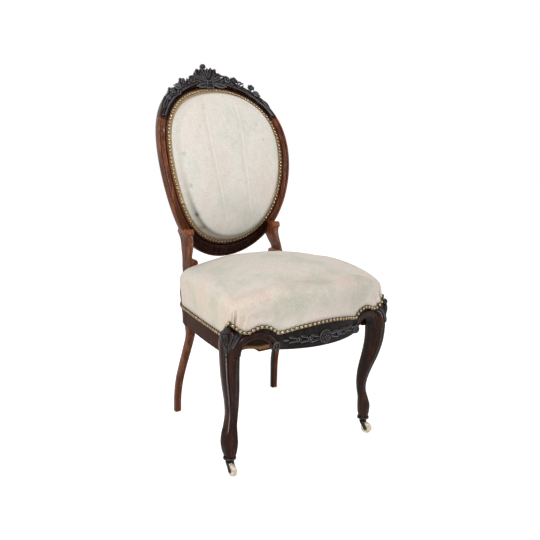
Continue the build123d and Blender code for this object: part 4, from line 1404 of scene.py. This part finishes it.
knee = {
    "ball": (369.5, 8.0, 3.0),   # height, radius, rise
    "leaves": [   # across the ridge at the top and at the foot, top height, drop, half width
        (-14, -3, 364, 34, 4.2), (-8, -1.5, 358, 38, 3.0), (20, 3, 364, 44, 4.4), (13, 1.5, 358, 42, 3.2),
        (26, 12, 360, 30, 3.0)],
    # height, half height, half width, depth, rise
    "jewels": [(351, 15, 5.2, 5.0, 0.5), (322, 9, 3.2, 3.0, 0.6)],
    "bead": (309, 110, 1.7),   # top, foot, radius
}
for side, name in sides:
    points, faces = [], []
    outward = Vector((side * math.sqrt(0.5), -math.sqrt(0.5), 0))
    across = Vector((side * math.sqrt(0.5), math.sqrt(0.5), 0))
    upward = Vector((0, 0, 1))

    def kneePlace(u, z, rise, side=side, outward=outward, across=across):
        # u runs across the knee from its ridge, the front face negative; rise stands out from it
        x, y, out, wide = between(z, frontLeg["rows"])
        share = min(0.97, abs(u) / (wide / 2))
        face = out / 2 * (1 - share ** frontLeg["power"]) ** (1 / frontLeg["power"])
        lean = (outward + across * math.copysign(share, u)).normalized()
        return Vector((x * side, y, z)) + outward * face + across * u + lean * rise

    z, radius, rise = knee["ball"]
    lump(points, faces, kneePlace(0, z, rise), (radius, radius, radius), (across, upward, outward))
    for high, low, top, drop, wide in knee["leaves"]:
        path = []
        for i in range(11):
            t = i / 10
            rise = 2.2 * math.sin(math.pi * (0.2 + 0.7 * t))
            path.append(kneePlace(-(high + (low - high) * t ** 0.8), top - drop * t, rise))
        rod(points, faces, path, (wide * 0.7, wide, wide * 0.85, wide * 0.6, 1.0), flat=0.7, up=outward)
    for z, high, wide, deep, rise in knee["jewels"]:
        lump(points, faces, kneePlace(0, z, rise), (wide, high, deep), (across, upward, outward))
    start, stop, thick = knee["bead"]
    rod(points, faces, [kneePlace(0, start + (stop - start) * i / 40, 0.2) for i in range(41)],
        (thick * 0.4, thick, thick, thick * 0.5), up=outward)
    kneeCarving = addMesh("kneeCarving_" + name, points, faces)
    remeshed(kneeCarving, 0.7, 1)
    dress(kneeCarving, "chair", carvedWood)
print("rail and knees carved")


# casters

caster = {
    "stem": (203.5, -206.5), "turn": {"right": 28.0, "left": 4.0}, "trail": 10.5, "wheel": 14.4,
    "width": 12.0,
    "plate": 15.5, "foot": 46.0, "plateThick": 4.5, "crown": 34.0, "gap": 6.6, "armThick": 2.4,
    "beads": 18, "beadRing": 14.2, "bead": 1.9,
}


def turned(name, profile, count=40, axis="z"):
    # turned on the lathe: radius and place along the axis
    rows = []
    for r, h in profile:
        circle = [(r * math.cos(a), r * math.sin(a)) for a in ring(count)]
        rows.append([(u, w, h) if axis == "z" else (h, u, w) for u, w in circle])
    piece = addMesh(name, *skinRows(rows), sharpAngle=40)
    facesOutward(piece)
    return piece


for side, name in sides:
    c = caster
    seat = Matrix.Translation(Vector((side * c["stem"][0], c["stem"][1], 0)) * mm) @ Matrix.Rotation(
        math.radians(c["turn"][name]), 4, "Z")
    top = c["foot"]
    plate = turned("casterPlate_" + name, [(4, top), (c["plate"] - 0.8, top), (c["plate"], top - 0.8),
                                           (c["plate"], top - 2.4), (c["plate"] - 1.6, top - c["plateThick"]),
                                           (7.5, top - c["plateThick"] - 0.4), (6, top - 7),
                                           (5.6, c["crown"] + 0.4),
                                           (3.4, c["crown"] + 0.4)])
    points, faces = [], []
    for a in ring(c["beads"]):   # round the collar
        centre = Vector((c["beadRing"] * math.cos(a), c["beadRing"] * math.sin(a), top - 4))
        lump(points, faces, centre, [c["bead"]] * 3, Matrix.Identity(3))
    beads = addMesh("beads", points, faces)
    plate = joinAll("casterPlate_" + name, [plate, beads])
    plate.data.transform(seat)
    dress(plate, "chair", blackIron, ["caster_plate_" + name])
    # fork: crown with two arms swept back to the axle
    inner, outer = c["gap"], c["gap"] + c["armThick"]
    parts = [turned("crown", [(3.1, 31.2), (8.6, 31.2), (9.4, 32.0), (9.2, 33.6), (7.5, 34.2), (3.1, 34.2)])]
    for way in (1, -1):
        rows = []
        for i in range(13):
            t = i / 12
            y = -c["trail"] * smoothStep(0, 1, t)
            z = 33.4 + (c["wheel"] - 4.2 - 33.4) * t
            wide = 6.4 - 2.2 * t if t < 0.85 else 4.5 - 6 * (t - 0.85)
            rows.append([(way * inner, y - wide, z), (way * inner, y + wide, z),
                         (way * (outer - 0.4), y + wide, z),
                         (way * outer, y + wide * 0.6, z), (way * outer, y - wide * 0.6, z),
                         (way * (outer - 0.4), y - wide, z)])
        parts.append(addMesh("arm", *skinRows(rows), sharpAngle=50))
    hub = Matrix.Translation(Vector((0, -c["trail"], c["wheel"])) * mm)
    axleEnd = [(2.1, outer), (2.9, outer + 0.2), (2.6, outer + 1.2), (0.05, outer + 1.2)]
    parts.append(turned("axle", [(r, -h) for r, h in axleEnd[::-1]] + axleEnd, 24, "x"))
    parts[-1].data.transform(hub)
    for part in parts:
        facesOutward(part)
    fork = joinAll("casterFork_" + name, parts)
    fork.data.transform(seat)
    dress(fork, name + "_swivel", blackIron, ["caster_fork_" + name, "caster_axle_" + name])
    half = c["width"] / 2
    rim = [(14.2, half - 2.4), (13.4, half - 0.9), (11.6, half), (5, half), (2.3, half - 0.6)]
    profile = [(r, -h) for r, h in rim[::-1]] + [(c["wheel"], 0)] + rim
    wheel = turned("casterWheel_" + name, profile, 48, "x")
    wheel.data.transform(seat @ hub)
    dress(wheel, name + "_roller", creamWheel, ["caster_wheel_" + name])
print("casters made")


# finishes of the pieces that stay as they are

kept = {
    railWood: ["side_rail_right", "side_rail_left"],
    polishedStile: ["rear_rail"],
    rawWood: ["front_batten", "corner_block_front_right", "corner_block_front_left",
              "corner_block_rear_right", "corner_block_rear_left", "rail_dowels", "back_dowels"],
    juteWeb: ["seat_webbing", "back_webbing"],
    hessianCloth: ["seat_hessian", "back_hessian"],
    springWire: ["seat_springs"],
    blackIron: ["caster_pintle_right", "caster_pintle_left"],
}
for material, names in kept.items():
    for name in names:
        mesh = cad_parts[name].data
        mesh.materials.clear()
        mesh.materials.append(material)
print("kept pieces finished")


# floor, light and camera

studio = {
    "world": 0.44, "floorGlow": 0.60,
    "lamps": {   # place, aim, size, power
        "key": ((-2.2, -1.6, 2.3), (0, 0, 0.5), (0.75, 0.75), 48),
        "fill": ((2.2, -2.2, 1.5), (0, 0, 0.5), (1.2, 1.2), 8),
        "rim": ((0.8, 2.2, 2.4), (0, 0, 0.6), (1.6, 1.6), 10),
        "leftStrip": ((-2.3, -0.3, 1.0), (0, 0, 0.6), (0.10, 1.2), 12),
        "rightStrip": ((1.5, -2.3, 1.1), (0, 0, 0.5), (0.10, 1.2), 12),
        "topStrip": ((-0.4, -1.4, 2.6), (0, 0.1, 0.6), (1.2, 0.10), 12),
    },
    "camera": {"place": (-0.8647, -1.4348, 0.8122), "yaw": 32.20, "pitch": 12.81, "lens": 43.19},
}


def makeFloor():
    bpy.ops.mesh.primitive_plane_add(size=14, location=(0, 0, 0))
    floor = bpy.context.object
    floor.name = "floor"
    material, nodes, links, shader = newMaterial("paleFloor")
    shader.inputs["Base Color"].default_value = (0.86, 0.86, 0.86, 1)
    shader.inputs["Roughness"].default_value = 0.9
    glow = nodes.new("ShaderNodeEmission")
    path = nodes.new("ShaderNodeLightPath")
    share = mathNode(nodes, links, "MULTIPLY", path.outputs["Is Camera Ray"], studio["floorGlow"])
    links.new(share, glow.inputs["Strength"])
    both = nodes.new("ShaderNodeAddShader")
    links.new(shader.outputs["BSDF"], both.inputs[0])
    links.new(glow.outputs["Emission"], both.inputs[1])
    links.new(both.outputs["Shader"], nodes["Material Output"].inputs["Surface"])
    floor.data.materials.append(material)
    floor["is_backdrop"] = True


def makeWorld():
    # soft light on the chair, plain white to the camera and in reflections
    world = bpy.data.worlds.new("studio")
    bpy.context.scene.world = world
    world.use_nodes = True
    nodes, links = world.node_tree.nodes, world.node_tree.links
    nodes.clear()
    backgrounds = []
    for strength in (studio["world"], 1.0):
        background = nodes.new("ShaderNodeBackground")
        background.inputs["Color"].default_value = (1, 1, 1, 1)
        background.inputs["Strength"].default_value = strength
        backgrounds.append(background.outputs["Background"])
    rays = nodes.new("ShaderNodeLightPath").outputs
    seen = mathNode(nodes, links, "MAXIMUM", rays["Is Camera Ray"], rays["Is Transmission Ray"])
    seenOrMirrored = mathNode(nodes, links, "MAXIMUM", seen, rays["Is Glossy Ray"])
    mix = nodes.new("ShaderNodeMixShader")
    out = nodes.new("ShaderNodeOutputWorld")
    for source, socket in ((seenOrMirrored, mix.inputs["Fac"]), (backgrounds[0], mix.inputs[1]),
                           (backgrounds[1], mix.inputs[2]), (mix.outputs["Shader"], out.inputs["Surface"])):
        links.new(source, socket)


def areaLight(name, place, aim, size, power):
    data = bpy.data.lights.new(name, "AREA")
    data.shape = "RECTANGLE"
    data.size, data.size_y = size
    data.energy = power
    lamp = bpy.data.objects.new(name, data)
    bpy.context.scene.collection.objects.link(lamp)
    lamp.location = place
    lamp.rotation_euler = (Vector(aim) - Vector(place)).to_track_quat("-Z", "Y").to_euler()


def makeCamera(place, yaw, pitch, lens):
    data = bpy.data.cameras.new("camera")
    data.lens = lens
    data.sensor_width = 36
    data.clip_start = 0.05
    camera = bpy.data.objects.new("camera", data)
    bpy.context.scene.collection.objects.link(camera)
    camera.location = place
    camera.rotation_euler = (math.radians(90 - pitch), 0, math.radians(-yaw))
    bpy.context.scene.camera = camera


makeFloor()
makeWorld()
for name, (place, aim, size, power) in studio["lamps"].items():
    areaLight(name, place, aim, size, power)
makeCamera(**studio["camera"])
bpy.context.scene.view_settings.view_transform = "Standard"

low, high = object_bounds()
print("scene ready")
